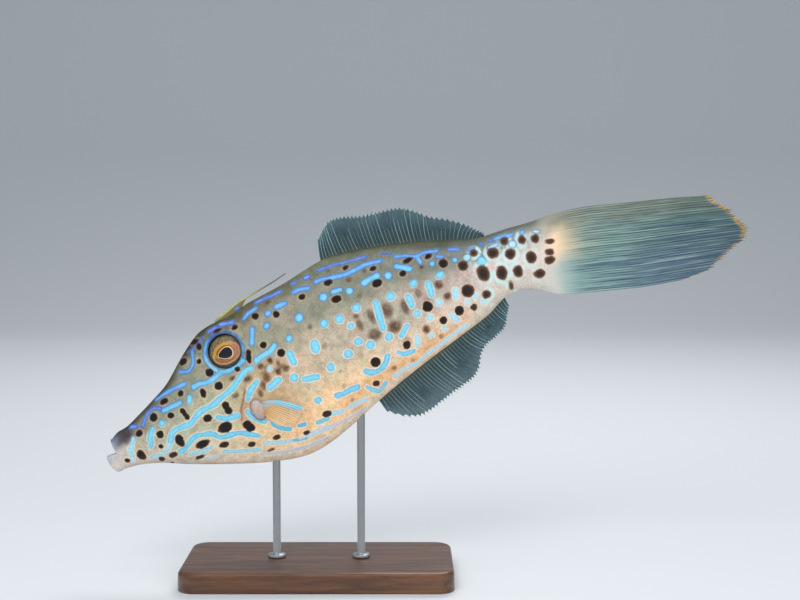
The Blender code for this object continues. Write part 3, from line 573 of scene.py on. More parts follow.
def fineForms(s, h):
    # what the skin adds to the plain side: orbit, gill fold, pectoral lobe, nostrils and muscles
    r = np.hypot(s - eye["s"], h - eye["h"])
    raised = orbit["rimHeight"] * hill(r, orbit["rim"], orbit["rimSpread"])
    raised -= orbit["socketDepth"] * ease((orbit["socket"] - r) / orbit["socketFall"])
    raised -= orbit["moatDepth"] * hill(r, orbit["moat"], orbit["moatSpread"])
    d = flatDistance(s, h, gill["path"])
    raised += gill["fold"] * hill(d, gill["foldBack"], gill["foldSpread"])
    raised -= gill["groove"] * hill(d, 0.0, gill["grooveSpread"])
    raised += lobe["height"] * np.maximum(1 - lobeShareAt(s, h) ** 2.4, 0) ** 0.6
    for ns, nh, radius in nostrils:
        d = np.hypot(s - ns, h - nh) / radius
        raised += 0.5 * hill(d, 1.5, 0.5) - 1.6 * np.exp(-d ** 4)
    # faint muscle relief and a soft hollow behind the cheek
    relief = ease((s - muscle["from"]) / muscle["full"]) * ease((muscle["to"] - s) / muscle["fade"])
    raised += muscle["height"] * relief * np.sin(s * 0.16 + h * 0.05) * hill(h, 5.0, 34.0)
    raised -= 0.8 * hill(s, 66.0, 22.0) * hill(h, 4.0, 12.0)
    return raised


def lipRing(outer, c, sine, share):
    # one ring over both lips, at a share of the way from the first ring to the slit
    full = np.abs(c) ** lips["round"]
    shapes = []
    for key in ("upper", "lower"):
        points = np.array(lips[key])
        shapes.append([float(smoothLine(points[:, [0, column]], share)) for column in (1, 2)])
    closed = share + (np.where(c > 0, shapes[0][0], shapes[1][0]) - share) * full
    ahead = np.where(c > 0, shapes[0][1], shapes[1][1]) * full
    slit = np.stack([outer[:, 0], lips["slitMiddle"] + lips["slitHalf"] * c,
                     lips["slitWidth"] * np.sign(sine) * np.abs(sine) ** 0.7], axis=-1)
    ring = outer + (slit - outer) * closed[:, None]
    ring[:, 0] = outer[:, 0] - ahead
    return ring


def buildSkin():
    # points round a section, closer together at its top and bottom
    around = body["around"]
    fine = np.linspace(0, 2 * math.pi, 4001)
    run = np.hypot(np.diff(np.sin(fine)), body["tall"] * np.diff(np.cos(fine)))
    length = np.concatenate([[0], np.cumsum(run)])
    theta = np.interp(np.arange(around) / around * length[-1], length, fine)
    c, sine = np.cos(theta), np.sin(theta)
    stations = np.concatenate([
        np.arange(lips["root"], body["headEnd"], body["headStep"]),
        np.arange(body["headEnd"], body["end"] + 0.01, body["trunkStep"])])
    middle, half, width = (values[:, None] for values in sectionAt(stations))
    s = np.repeat(stations[:, None], around, axis=1)
    h = middle + half * c
    fullness = np.abs(sine)
    y = plainSide(s, h, width, fullness) + fineForms(s, h) * np.minimum(fullness * 3, 1)
    y = y * np.where(sine >= 0, 1.0, -1.0)

    # lips: from the first ring round to the mouth's slit, and in
    outer = np.stack([s[0], h[0], y[0]], axis=-1)
    rings = [lipRing(outer, c, sine, 1 - k / lips["rings"]) for k in range(lips["rings"])]
    slit = np.array([0.0, lips["slitMiddle"], 0.0])
    inside = [slit + (rings[0] - slit) * [1, share, share] + [depth, 0, 0] for depth, share in lips["inside"]]
    grid = np.concatenate([np.array(inside), np.array(rings), np.stack([s, h, y], axis=-1)])
    points = place(grid[..., 0], grid[..., 1], grid[..., 2])
    points = np.concatenate([points.reshape(-1, 3), [points[0].mean(axis=0), points[-1].mean(axis=0)]])
    faces = ringFaces(len(grid), around)
    obj = meshObject("filefish_skin", points, faces)
    print("skin made:", len(faces), "faces")

    flat = grid.reshape(-1, 3)
    along = np.append(flat[:, 0], [flat[0, 0], flat[-1, 0]])
    up = np.append(flat[:, 1], [0, 0])
    middle, half, _ = sectionAt(flat[:, 0])
    flank = np.append(np.clip((flat[:, 1] - middle) / half, -1.2, 1.2), [0, 0])
    blue, shade, dark, smudge = drawMarkings(along, points, np.random.default_rng(marks["seed"]))
    fields = {"alongBody": along, "flank": flank, "blueField": blue, "blueShade": shade, "darkField": dark,
              "smudge": smudge, "eyeRing": np.hypot(along - eye["s"], up - eye["h"]),
              "gillEdge": flatDistance(along, up, gill["path"]), "lobeShare": lobeShareAt(along, up)}
    for name, values in fields.items():
        setField(obj, name, values)
    faceOut(obj)
    print("markings drawn")
    return obj


caudal = {
    "root": 422.0, "sunkTo": 427.0, "rays": 36, "rows": 84, "steps": 60, "seed": 8,
    "longer": (-3.6, 0.4), "notch": 3.4, "radius": 0.68, "thicker": (0.7, 1.0),
    "top": [(422, 45.6), (427, 47.0), (445, 49.4), (465, 50), (500, 48.5), (550, 46.5), (605, 43)],
    "bottom": [(422, -22.8), (427, -23.5), (445, -25.1), (475, -26.4), (500, -27.3), (530, -26.3),
               (605, -24)],
    "end": [(0, 541), (.06, 559), (.13, 570), (.25, 580), (.33, 591), (.4, 598), (.49, 602),
            (.56, 601), (.75, 591), (.93, 576), (1, 572)],
}
tailLook = {
    # the warm stop at 429 in the middle row is a painted highlight on the tail's root
    "middle": [(416, 220, 200, 188), (429, 228, 196, 164), (441, 184, 172, 144), (456, 132, 148, 132),
               (476, 108, 134, 126), (520, 88, 116, 114), (602, 64, 88, 92)],
    "upper": [(416, 142, 140, 130), (440, 126, 126, 108), (480, 108, 118, 104), (602, 78, 90, 82)],
    "lower": [(416, 194, 192, 186), (424, 182, 184, 176), (434, 146, 164, 158), (448, 114, 142, 140),
              (470, 98, 126, 128), (520, 82, 104, 120), (602, 58, 78, 90)],
    "start": 416.0, "end": 602.0, "slate": paint(44, 58, 88), "light": paint(148, 174, 166),
    "gold": paint(186, 144, 58), "groove": paint(26, 40, 44),
}


def streakOf(up, along, across, outward):
    # fine streaks that run out along a fin
    vector = addNode("ShaderNodeCombineXYZ", {0: times(up, across), 1: times(along, outward)}).outputs[0]
    values = {"Vector": vector, "Scale": 1.0, "Detail": 4.0, "Roughness": 0.6}
    return addNode("ShaderNodeTexNoise", values).outputs["Fac"]


def tailTone(along, up):
    # the tail fin's colours, by s and by the share of its height, with a painted highlight on the middle of
    # its root
    middle, upper, lower = (ramp(along, tailLook[key], tailLook["end"], tailLook["start"])
                            for key in ("middle", "upper", "lower"))
    height = scaled(waver(60.0), 0.25, up)
    colour = layered(middle, (spread(height, 0.62, 0.3), lower), (spread(height, 0.7, 0.9), upper))
    fin = spread(along, 426.0, 462.0)
    for key, across, outward, depth in (("slate", 30.0, 0.008, 0.6), ("light", 62.0, 0.012, 0.5)):
        streak = spread(streakOf(up, along, across, outward), 0.5, 0.62)
        colour = blend(times(streak, fin, depth), colour, tailLook[key])
    # a dark line between each ray and the next
    wave = maths("COSINE", times(up, 2 * math.pi * caudal["rays"]))
    uneven = spread(streakOf(up, along, 24.0, 0.03), 0.35, 0.6, 0.1, 0.75)
    return blend(times(spread(wave, 0.1, 0.85), uneven, fin), colour, tailLook["groove"])


skinLook = {
    "back": [(-8, 150, 164, 184), (3, 120, 124, 140), (12, 50, 44, 54), (24, 56, 52, 54), (36, 78, 76, 66),
             (112, 54, 50, 36), (150, 92, 90, 64), (240, 112, 118, 96), (350, 76, 82, 70), (400, 90, 96, 86),
             (436, 118, 128, 120)],
    "upper": [(-8, 164, 180, 198), (3, 146, 156, 172), (12, 76, 74, 82), (24, 112, 108, 104),
              (40, 146, 146, 130), (100, 148, 152, 134), (185, 156, 154, 140), (245, 130, 135, 122),
              (345, 126, 133, 128), (390, 126, 132, 126), (412, 170, 170, 164), (436, 190, 184, 174)],
    "middle": [(-8, 190, 200, 212), (4, 202, 194, 194), (16, 198, 188, 174), (32, 180, 178, 162),
               (60, 178, 178, 162), (100, 184, 184, 160), (130, 190, 174, 144), (155, 200, 172, 138),
               (185, 206, 188, 166), (240, 188, 177, 164), (300, 182, 173, 162), (350, 200, 184, 182),
               (385, 222, 204, 202), (436, 218, 200, 190)],
    "lower": [(-8, 222, 218, 222), (2, 222, 210, 204), (16, 212, 202, 190), (60, 202, 198, 184),
              (100, 222, 206, 180), (140, 246, 208, 166), (200, 252, 218, 174), (260, 226, 206, 182),
              (310, 226, 204, 184), (345, 220, 206, 196), (400, 208, 200, 194), (436, 200, 194, 188)],
    "belly": [(-8, 220, 216, 220), (6, 214, 206, 200), (40, 214, 206, 196), (120, 238, 226, 208),
              (180, 248, 228, 204), (250, 244, 228, 210), (300, 250, 218, 186), (345, 216, 208, 194),
              (436, 182, 186, 180)],
    # the next row's last two tones are painted light: the violet and darker sky blue of marks high on the
    # body
    "start": -8.0, "end": 436.0, "topLightViolet": paint(90, 118, 200), "topLightSky": paint(92, 154, 208),
    "sky": paint(106, 184, 210), "pale": paint(174, 206, 214), "lilac": paint(196, 196, 208),
    # the next row begins with the painted highlight for the blue marks' cores
    "blueCoreHighlight": paint(156, 214, 228), "blueEdge": paint(86, 118, 156), "dark": paint(18, 10, 9),
    "brown": paint(46, 33, 27), "darkRim": paint(84, 56, 42), "halo": paint(232, 206, 166),
    "smudge": paint(78, 48, 28), "snoutPatch": paint(58, 44, 54), "gill": paint(178, 134, 108),
    # after the gill's tone, the next row holds the painted shade for the gill slit
    "slit": paint(104, 68, 54), "lobe": paint(150, 134, 130), "lobeLight": paint(188, 176, 170),
    # the next row begins with the painted shade for the recess round each eye
    "socket": paint(34, 38, 52), "mint": paint(180, 208, 206), "orange": paint(242, 174, 102),
    # the next row holds the painted shade for the crease round the pectoral lobe
    "blueRing": paint(222, 224, 214), "lobeCreaseShade": paint(104, 82, 80), "pepper": paint(64, 46, 34),
    "speckle": paint(204, 198, 192), "bands": [(-1.0, -0.72), (-0.62, -0.12), (0.05, 0.55), (0.7, 1.0)],
}


def baseTones(along, flank):
    # colour along the body, and from the belly up to the back
    soft = scaled(waver(45.0, 3.0), 0.35, flank)
    belly, *tones = (ramp(along, skinLook[key], skinLook["end"], skinLook["start"])
                     for key in ("belly", "lower", "middle", "upper", "back"))
    colour = layered(belly, *((spread(soft, *reach), tone) for reach, tone in zip(skinLook["bands"], tones)))
    # an orange stripe along the belly's edge
    stripe = times(window(soft, -0.95, -0.85, -0.76, -0.62), window(along, 170, 230, 310, 355), 0.5)
    return blend(stripe, colour, skinLook["orange"])


def withFlesh(colour, along):
    # brown smudges, the gill fold, and painted shade along the gill slit's groove
    blot = spread(noise(330.0, 3.0), 0.3, 0.62, 0.8, 1.05)
    brown = blend(spread(along, 30.0, 24.0), skinLook["smudge"], skinLook["snoutPatch"])
    edge = field("gillEdge")
    return layered(colour, (times(field("smudge"), blot), brown),
                   (times(window(edge, -1.5, 1.0, 3.0, 6.5), 0.45), skinLook["gill"]),
                   (times(window(edge, -1.6, -0.1, 0.1, 1.4), 0.6), skinLook["slit"]))


def withMarks(colour, along, flank):
    # the dark spots' pale halos, the blue marks with a painted highlight in their cores, and the spots
    # themselves, softer on the tail's root
    rough = waver(560.0, 3.0)
    edge = scaled(waver(170.0, 1.0), 2.0, times(rough, 1.3))
    dark = maths("ADD", edge, field("darkField"))
    soft = spread(along, 325.0, 362.0)
    halo = times(spread(dark, 2.4, 0.5), spread(flank, 0.7, 0.0, 0.12, 0.3))
    net = times(window(dark, 0.6, 2.2, 3.0, 5.4), window(along, 352.0, 366.0, 392.0, 426.0), 0.9)
    blue = maths("ADD", times(edge, 0.9), field("blueField"))
    high = spread(flank, 0.1, 0.45)
    ring = blend(high, skinLook["blueRing"], skinLook["blueEdge"])
    colour = layered(colour, (halo, skinLook["halo"]),
                     (times(net, spread(noise(85.0), 0.36, 0.5)), skinLook["mint"]),
                     (times(spread(blue, 1.7, 0.2), 0.5), ring))
    shade = field("blueShade")
    # painted light: marks high on the body turn darker and violet, for how the light falls there
    sky = blend(spread(flank, 0.3, 0.8), skinLook["sky"], skinLook["topLightSky"])
    tint = layered(skinLook["topLightViolet"], (spread(shade, 0.0, 0.5), sky),
                   (spread(shade, 0.5, 1.0), skinLook["pale"]), (spread(shade, 1.0, 1.5), skinLook["lilac"]))
    core = blend(spread(high, 0.0, 1.0, 0.25, 0.75), tint, skinLook["blueEdge"], "MULTIPLY")
    # painted highlight: a pale core deep inside each blue mark
    core = layered(core, (spread(blue, 0.0, -0.8), tint),
                   (spread(blue, -0.8, -2.6, 0.0, 0.35), skinLook["blueCoreHighlight"]))
    fleck = spread(rough, -0.12, 0.14, 0.9, 1.06)
    flecks = addNode("ShaderNodeCombineColor", {0: fleck, 1: fleck, 2: fleck}).outputs[0]
    core = blend(1.0, core, flecks, "MULTIPLY")
    warm = maths("MAXIMUM", times(soft, 0.75), spread(flank, -0.5, -0.72))
    black = blend(warm, skinLook["dark"], skinLook["brown"])
    return layered(colour, (spread(blue, scaled(soft, 0.9, 0.35), scaled(soft, -1.5, -0.25)), core),
                   (spread(dark, scaled(soft, 0.9, 0.8), 0.0), skinLook["darkRim"]),
                   (spread(dark, 0.2, scaled(soft, -1.6, -0.8)), black))


def withLobe(colour):
    # the pectoral fin's fleshy root, with painted shade in the crease round its rim
    share = field("lobeShare")
    flesh = layered(skinLook["lobe"], (spread(noise(900.0), 0.35, 0.65), skinLook["lobeLight"]),
                    (spread(noise(120.0), 0.42, 0.8, 0.0, 0.8), skinLook["gill"]))
    return layered(colour, (spread(share, 1.1, 0.92, 0.0, 0.92), flesh),
                   (times(window(share, 0.82, 1.0, 1.02, 1.25), 0.6), skinLook["lobeCreaseShade"]))


def skinMaterial():
    material, shader = newMaterial("skinPaint")
    along, flank = field("alongBody"), field("flank")
    colour = baseTones(along, flank)
    plain = times(spread(along, 400.0, 330.0, 0.25, 1.0), spread(along, 4.0, 34.0, 0.25, 1.0))
    mottle, cloud = noise(150.0, 5.0, 0.62), noise(70.0, 3.0, 0.6)
    for share, depth, light, deep in (
            (spread(mottle, 0.34, 0.68), 1.0, (1.1, 1.08, 1.04, 1), (0.82, 0.8, 0.75, 1)),
            (spread(cloud, 0.4, 0.6), 0.8, (0.95, 1.02, 0.98, 1), (1.06, 0.97, 0.95, 1))):
        colour = blend(times(plain, depth), colour, blend(share, light, deep), "MULTIPLY")
    grain = noise(1300.0, 3.0, 0.7)
    speckle = blend(spread(grain, 0.3, 0.7), skinLook["speckle"], paint(255, 255, 255))
    colour = withFlesh(blend(1.0, colour, speckle, "MULTIPLY"), along)
    # the end of the skin takes on the tail fin's colours
    colour = blend(spread(along, 411.0, 431.0), colour, tailTone(along, scaled(flank, 0.5, 0.5)))
    colour = withMarks(colour, along, flank)
    # painted shade: the skin in the recess under each eyeball's rim is painted dark blue-grey
    colour = blend(spread(field("eyeRing"), 15.5, 14.8), colour, skinLook["socket"])
    colour = withLobe(colour)
    # fine pepper over all of it
    cell = addNode("ShaderNodeTexVoronoi", {"Vector": objectSpots(), "Scale": 420.0}).outputs["Distance"]
    pepper = times(spread(cell, 0.2, 0.1), plain, spread(mottle, 0.5, 0.62, 0, 0.7))
    colour = blend(pepper, colour, skinLook["pepper"])
    fine = addNode("ShaderNodeBump", {"Strength": 0.5, "Distance": 0.0004, "Height": grain})
    coarse = addNode("ShaderNodeBump", {"Strength": 0.35, "Distance": 0.0012, "Height": mottle,
                                        "Normal": fine.outputs[0]})
    connect(shader, {"Base Color": colour, "Roughness": spread(grain, 0.2, 0.8, 0.42, 0.64),
                     "Specular IOR Level": 0.35, "Normal": coarse.outputs[0]})
    return material


# Eyes: a ball on each side of the skin, turned out with it

sides = (("left", -1), ("right", 1))
# the iris and the pupil as (along, up, radius along, radius up, taper)
eyeLook = {
    "iris": (0.8, -1.4, 13.4, 10.2, 0.0), "pupil": (0.3, -1.9, 6.0, 4.2, 0.32),
    "narrower": 0.2, "flatter": 0.3, "rings": 110, "around": 144, "step": 6.0,
    "tones": [(0, 156, 106, 62), (.5, 150, 98, 54), (.6, 96, 58, 32), (.68, 176, 118, 68), (.76, 106, 66, 38),
              (.84, 160, 110, 70), (.92, 190, 154, 108), (.99, 120, 88, 60), (1.05, 58, 50, 38),
              (1.4, 72, 70, 56)],
    "gold": paint(204, 150, 46), "pink": paint(166, 124, 104), "fibre": paint(88, 54, 32),
    "olive": paint(78, 72, 50), "oliveLight": paint(122, 112, 76),
    "pupilRings": [(1.27, 1.17, 216, 184, 136), (1.14, 1.04, 14, 7, 6), (0.95, 0.5, 8, 12, 22)],
}


def eyeTurn():
    # the eye's centre on the skin, and its directions back, up and out
    s, h, step = eye["s"], eye["h"], eyeLook["step"]
    slopeS = (sideWidth(s + step, h) - sideWidth(s - step, h)) / (2 * step)
    slopeH = (sideWidth(s, h + step) - sideWidth(s, h - step)) / (2 * step)
    out = unit(np.array([-slopeS, -slopeH, 1.0]))
    along = np.array([1.0, 0.0, 0.0])
    along = unit(along - out * (along @ out))
    return np.array([s, h, float(sideWidth(s, h))]), along, np.cross(out, along), out


def lensShape(a, b):
    # the lens stands out a little at the pupil, with a shallow groove round it
    middleA, middleB, along, up, taper = eyeLook["pupil"]
    da = (a - middleA) / along
    p = np.hypot(da, (b - middleB) / up / np.maximum(1 + taper * da, 0.3))
    return 0.3 * np.exp(-p ** 4) - 0.22 * hill(p, 1.35, 0.25)


def eyeBall(name, side):
    # a squashed ball with its pole at the pupil, as a polar grid
    centre, along, up, out = eyeTurn()
    around, deep = eyeLook["around"], eye["halfDepth"] - eyeLook["flatter"]
    sunk = eye["proud"] - eye["halfDepth"]
    phi = np.linspace(0, math.pi, eyeLook["rings"] + 1)[1:-1, None]
    turn = np.arange(around) / around * 2 * math.pi
    wide = (eye["radius"] - eyeLook["narrower"]) * np.sin(phi)
    a, b, c = wide * np.cos(turn), wide * np.sin(turn), deep * np.cos(phi) + sunk
    c = c + lensShape(a, b) * (c > sunk)
    spots = centre + a[..., None] * along + b[..., None] * up + c[..., None] * out
    poles = [centre + out * (sunk + deep + lensShape(0.0, 0.0)), centre + out * (sunk - deep)]
    spots = np.concatenate([spots.reshape(-1, 3), poles])
    points = place(spots[:, 0], spots[:, 1], side * spots[:, 2])
    obj = meshObject(name, points, ringFaces(len(phi), around))
    setField(obj, "eyeAlong", np.append(a.ravel(), [0, 0]))
    setField(obj, "eyeUp", np.append(b.ravel(), [0, 0]))
    faceOut(obj)
    return obj


def ovalOf(a, b, middleA, middleB, along, up, taper):
    # 1 on an oval round its middle, narrower to the front by its taper
    da = maths("DIVIDE", maths("SUBTRACT", a, middleA), along)
    db = maths("DIVIDE", maths("SUBTRACT", b, middleB), up)
    db = maths("DIVIDE", db, scaled(da, taper, 1.0))
    return maths("SQRT", maths("ADD", times(da, da), times(db, db)))


def eyeMaterial():
    material, shader = newMaterial("irisPaint")
    a, b = field("eyeAlong"), field("eyeUp")
    wobble = waver(300.0, 4.0)
    plain = ovalOf(a, b, *eyeLook["iris"])
    q = scaled(wobble, 0.12, plain)
    # gold on the upper front, pinkish behind, and rings of fibre
    tilt = scaled(a, -0.3, b)
    gold = times(spread(tilt, -1.0, 3.0), spread(q, 0.98, 0.86), 0.85, spread(q, 0.6, 0.76))
    colour = blend(gold, ramp(q, eyeLook["tones"], eyeLook["tones"][-1][0]), eyeLook["gold"])
    behind = times(spread(a, 4.0, 9.0), spread(q, 1.02, 0.92), 0.55)
    colour = blend(behind, colour, eyeLook["pink"])
    fibre = spread(maths("SINE", times(q, 62.0)), 0.0, 1.0, 0.0, 0.6)
    colour = blend(times(fibre, spread(q, 1.05, 0.98)), colour, eyeLook["fibre"])
    # the olive of the upper globe over the top
    olive = blend(spread(noise(500.0, 4.0), 0.35, 0.65), eyeLook["olive"], eyeLook["oliveLight"])
    lid = scaled(wobble, 1.5, scaled(a, -0.32, b))
    cover = times(spread(lid, 4.2, 5.6), spread(plain, 0.78, 0.98))
    top = maths("MAXIMUM", cover, times(spread(plain, 1.0, 1.06), spread(tilt, 0.0, 3.0)))
    colour = blend(top, colour, olive)
    pupil = ovalOf(a, b, *eyeLook["pupil"])
    for outer, inner, *tone in eyeLook["pupilRings"]:
        colour = blend(spread(pupil, outer, inner), colour, paint(*tone))
    connect(shader, {"Base Color": colour, "Roughness": 0.45, "Specular IOR Level": 0.25,
                     "Coat Weight": 0.6, "Coat Roughness": 0.04})
    return material


def buildEyes():
    iris = eyeMaterial()
    for name, side in sides:
        dress(eyeBall("eyeball_" + name, side), iris, "eye", "eye_" + name)
    print("eyes made")


# Rays: round rods along their paths, made by one node tree

def rayTree():
    tree = bpy.data.node_groups.new("finRays", "GeometryNodeTree")
    shading["tree"] = tree
    for name, way, kind in (("Geometry", "INPUT", "Geometry"), ("Sides", "INPUT", "Int"),
                            ("Thickness", "INPUT", "Float"), ("Material", "INPUT", "Material"),
                            ("Geometry", "OUTPUT", "Geometry")):
        tree.interface.new_socket(name, in_out=way, socket_type="NodeSocket" + kind)
    given = addNode("NodeGroupInput").outputs
    radius = addNode("GeometryNodeInputNamedAttribute", {"Name": "rayRadius"}, data_type="FLOAT")
    thick = times(radius.outputs["Attribute"], given["Thickness"])
    line = addNode("GeometryNodeMeshToCurve", {"Mesh": given["Geometry"]})
    line = addNode("GeometryNodeSetCurveRadius", {"Curve": line.outputs[0], "Radius": thick})
    circle = addNode("GeometryNodeCurvePrimitiveCircle", {"Resolution": given["Sides"], "Radius": 1.0})
    tube = addNode("GeometryNodeCurveToMesh", {"Curve": line.outputs[0], "Fill Caps": True,
                                               "Profile Curve": circle.outputs["Curve"]})
    if "Scale" in tube.inputs:
        connect(tube, {"Scale": thick})
    real = addNode("GeometryNodeRealizeInstances", {"Geometry": tube.outputs[0]})
    painted = addNode("GeometryNodeSetMaterial", {"Geometry": real.outputs[0], "Material": given["Material"]})
    addNode("NodeGroupOutput", {"Geometry": painted.outputs[0]})
    return tree


rays = rayTree()


def layRays(name, laid, material, around=6):
    # laid holds each ray's path of spots (s, h, y), its radii in millimetres and its fields
    edges, start = [], 0
    for path, _, _ in laid:
        edges += [(start + k, start + k + 1) for k in range(len(path) - 1)]
        start += len(path)
    mesh = bpy.data.meshes.new(name)
    mesh.from_pydata(np.concatenate([place(*path.T) for path, _, _ in laid]).tolist(), edges, [])
    guide = addObject(name + "_guide", mesh)
    setField(guide, "rayRadius", np.concatenate([radius for _, radius, _ in laid]))
    for key in laid[0][2]:
        values = [np.broadcast_to(fields[key], len(path)) for path, _, fields in laid]
        setField(guide, key, np.concatenate(values))
    modifier = guide.modifiers.new("rays", "NODES")
    modifier.node_group = rays
    names = {item.name: item.identifier for item in rays.interface.items_tree if item.in_out == "INPUT"}
    for key, value in (("Sides", around), ("Thickness", mm), ("Material", material)):
        modifier[names[key]] = value
    graph = bpy.context.evaluated_depsgraph_get()
    made = bpy.data.meshes.new_from_object(guide.evaluated_get(graph))
    made.shade_smooth()
    obj = addObject(name, made)
    bpy.data.objects.remove(guide)
    faceOut(obj)
    return obj


# Fins: webs with scalloped edges, and rays laid in them

dorsal = {
    "from": 238.0, "to": 377.0, "rays": 46, "lean": 0.3, "side": 1, "wave": 2.2, "waves": 3.5, "seed": 5,
    "sweep": [(0, 0), (.15, -.06), (.5, -.034), (.7, 0), (.85, .055), (.94, .036), (1, 0)], "curl": 1.0,
    "reach": [(0, 21), (.08, 32), (.15, 33.5), (.3, 31), (.52, 33), (.6, 30), (.7, 23.5), (.8, 20.5),
              (.9, 15), (1, 5)],
}
anal = {
    "from": 236.0, "to": 375.0, "rays": 49, "lean": 0.22, "side": -1, "wave": 2.2, "waves": 3.5, "seed": 6,
    "sweep": [(0, 0), (.1, .045), (.3, .075), (.6, .075), (.85, .045), (1, 0)], "curl": 1.4,
    "reach": [(0, 14), (.06, 26), (.15, 36), (.3, 38), (.55, 38), (.62, 34), (.7, 24), (.8, 21),
              (.9, 20), (1, 11)],
}
backFins = {
    "rows": 30, "edge": 1.4, "notch": 2.6, "half": 0.12, "rootHalf": 0.75, "rootShare": 0.12,
    "steps": 24, "bend": 0.005, "longer": (-0.8, 0.7), "radius": 0.42, "taper": 0.3, "thicker": (0.7, 1.15),
}
backLook = {
    "web": [(0, 70, 76, 66), (.2, 44, 58, 60), (.6, 42, 66, 74), (1, 62, 92, 100)],
    "streak": paint(26, 42, 50), "streaks": 60.0, "streaked": 0.55, "cover": (0.96, 0.7), "banded": False,
    "rays": [(0, 104, 112, 98), (.3, 112, 142, 140), (.8, 146, 180, 178), (1, 184, 208, 202)],
    "dull": paint(62, 86, 92),
}
fan = {
    "root": ((140.0, -12.5), (138.5, -23.5)), "angles": (-27.0, -60.0), "rays": 14, "inside": -0.12,
    "reach": [(0, 39), (.3, 36), (.6, 28), (1, 17)], "bow": 4.0, "spread": 0.16, "height": 2.6,
    "band": [(140.5, -16), (144, -16.4), (148.5, -16), (153, -16.8), (157, -19), (161, -22), (165, -25.4),
             (169.5, -28.9), (174, -31.4)],
    "bandHalf": 2.3, "rows": 40, "half": 0.1, "radius": 0.27, "taper": 0.12, "shorter": 0.3,
}
fanLook = {
    "web": [(0, 236, 194, 142), (.5, 242, 206, 154), (1, 242, 210, 168)],
    "streak": paint(216, 164, 106), "streaks": 30.0, "streaked": 0.3, "cover": (0.4, 0.08), "banded": True,
    "rays": [(0, 156, 114, 80), (.25, 194, 144, 94), (.5, 228, 186, 136), (1, 242, 208, 164)],
    "bandRim": paint(226, 222, 208), "bandEdge": paint(84, 178, 214), "bandLines": paint(206, 222, 220),
}


def finGrid(count, rows, inside=0.0):
    # shares across a fin's web, with eight columns to a ray, and out along it
    return np.linspace(0, 1, count * 8 + 1)[:, None], np.linspace(inside, 1, rows)[None, :]


def scallop(share):
    # nought at each whole number, and 1 halfway to the next
    return np.abs(np.sin(math.pi * share))


def backFinSpot(fin, u, t, extra):
    u = u + smoothLine(fin["sweep"], u) * t ** fin["curl"]
    baseS = fin["from"] + (fin["to"] - fin["from"]) * u
    middle, half, _ = sectionAt(baseS)
    out = (smoothLine(fin["reach"], u) + extra) * t
    turn = 2 * math.pi * fin["waves"] * u
    wave = fin["wave"] * t * t * np.sin(turn + fin["side"]) + 0.7 * t ** 3 * np.sin(3.1 * turn)
    s = baseS + fin["lean"] * out * (0.6 + 0.4 * t)
    h = middle + fin["side"] * (half - 1.5 * (1 - t)) + fin["side"] * out
    return np.stack(np.broadcast_arrays(s, h, wave), axis=-1)


def caudalSpot(v, t, extra):
    end = smoothLine(caudal["end"], v) + extra
    s = caudal["root"] + (end - caudal["root"]) * t
    low = smoothLine(caudal["bottom"], s)
    h = low + (smoothLine(caudal["top"], s) - low) * v
    y = 0.7 * ease((s - 450) / 150) * np.sin(2 * math.pi * (1.4 * v + 0.3 * t))
    return np.stack(np.broadcast_arrays(s, h, y), axis=-1)


def fanSpot(side, u, t, extra):
    (topS, topH), (lowS, lowH) = fan["root"]
    angle = np.radians(fan["angles"][0] + (fan["angles"][1] - fan["angles"][0]) * u)
    reach = smoothLine(fan["reach"], u) + extra
    s = topS + (lowS - topS) * u + reach * t * np.cos(angle)
    h = topH + (lowH - topH) * u + reach * t * np.sin(angle) + fan["bow"] * (1 - u) * np.sin(math.pi * t)
    out = sideWidth(s, h) + fan["height"] * (0.6 + 0.4 * t) + fan["spread"] * reach * t
    out = out + 0.5 * t * np.sin(2 * math.pi * 2.2 * u)
    return np.stack(np.broadcast_arrays(s, h, side * out), axis=-1)


def webMaterial(name, look):
    material, shader = newMaterial(name)
    out, across = field("outShare"), field("acrossShare")
    streak = streakOf(across, out, look["streaks"], 2.5)
    colour = blend(spread(streak, 0.45, 0.7, 0.0, look["streaked"]), ramp(out, look["web"]), look["streak"])
    alpha = spread(out, 0.0, 1.0, *look["cover"])
    if look["banded"]:
        edge = scaled(maths("SUBTRACT", streak, 0.5), 1.6, field("bandField"))
        mask = spread(edge, 0.5, -0.4)
        # near the root the band is a fan of thin lines
        wave = maths("SINE", times(across, 120.0))
        lines = times(spread(wave, 0.1, 0.7), spread(out, 0.5, 0.15), 0.8)
        colour = blend(spread(edge, 1.5, 0.3), colour, look["bandRim"])
        colour = blend(mask, colour, blend(spread(edge, -0.2, -1.6), look["bandEdge"], skinLook["sky"]))
        colour = blend(times(mask, lines), colour, look["bandLines"])
        alpha = maths("MAXIMUM", alpha, times(mask, 0.92))
    connect(shader, {"Base Color": colour, "Roughness": 0.42, "Specular IOR Level": 0.3, "Alpha": alpha})
    return material


def rayMaterial(name, tones, rough=0.45, dull=None):
    # each ray has its own share of the duller tone
    material, shader = newMaterial(name)
    colour = ramp(field("outShare"), tones)
    if dull is not None:
        colour = blend(times(field("rayTone"), 0.8), colour, dull)
    connect(shader, {"Base Color": colour, "Roughness": rough, "Specular IOR Level": 0.3})
    return material


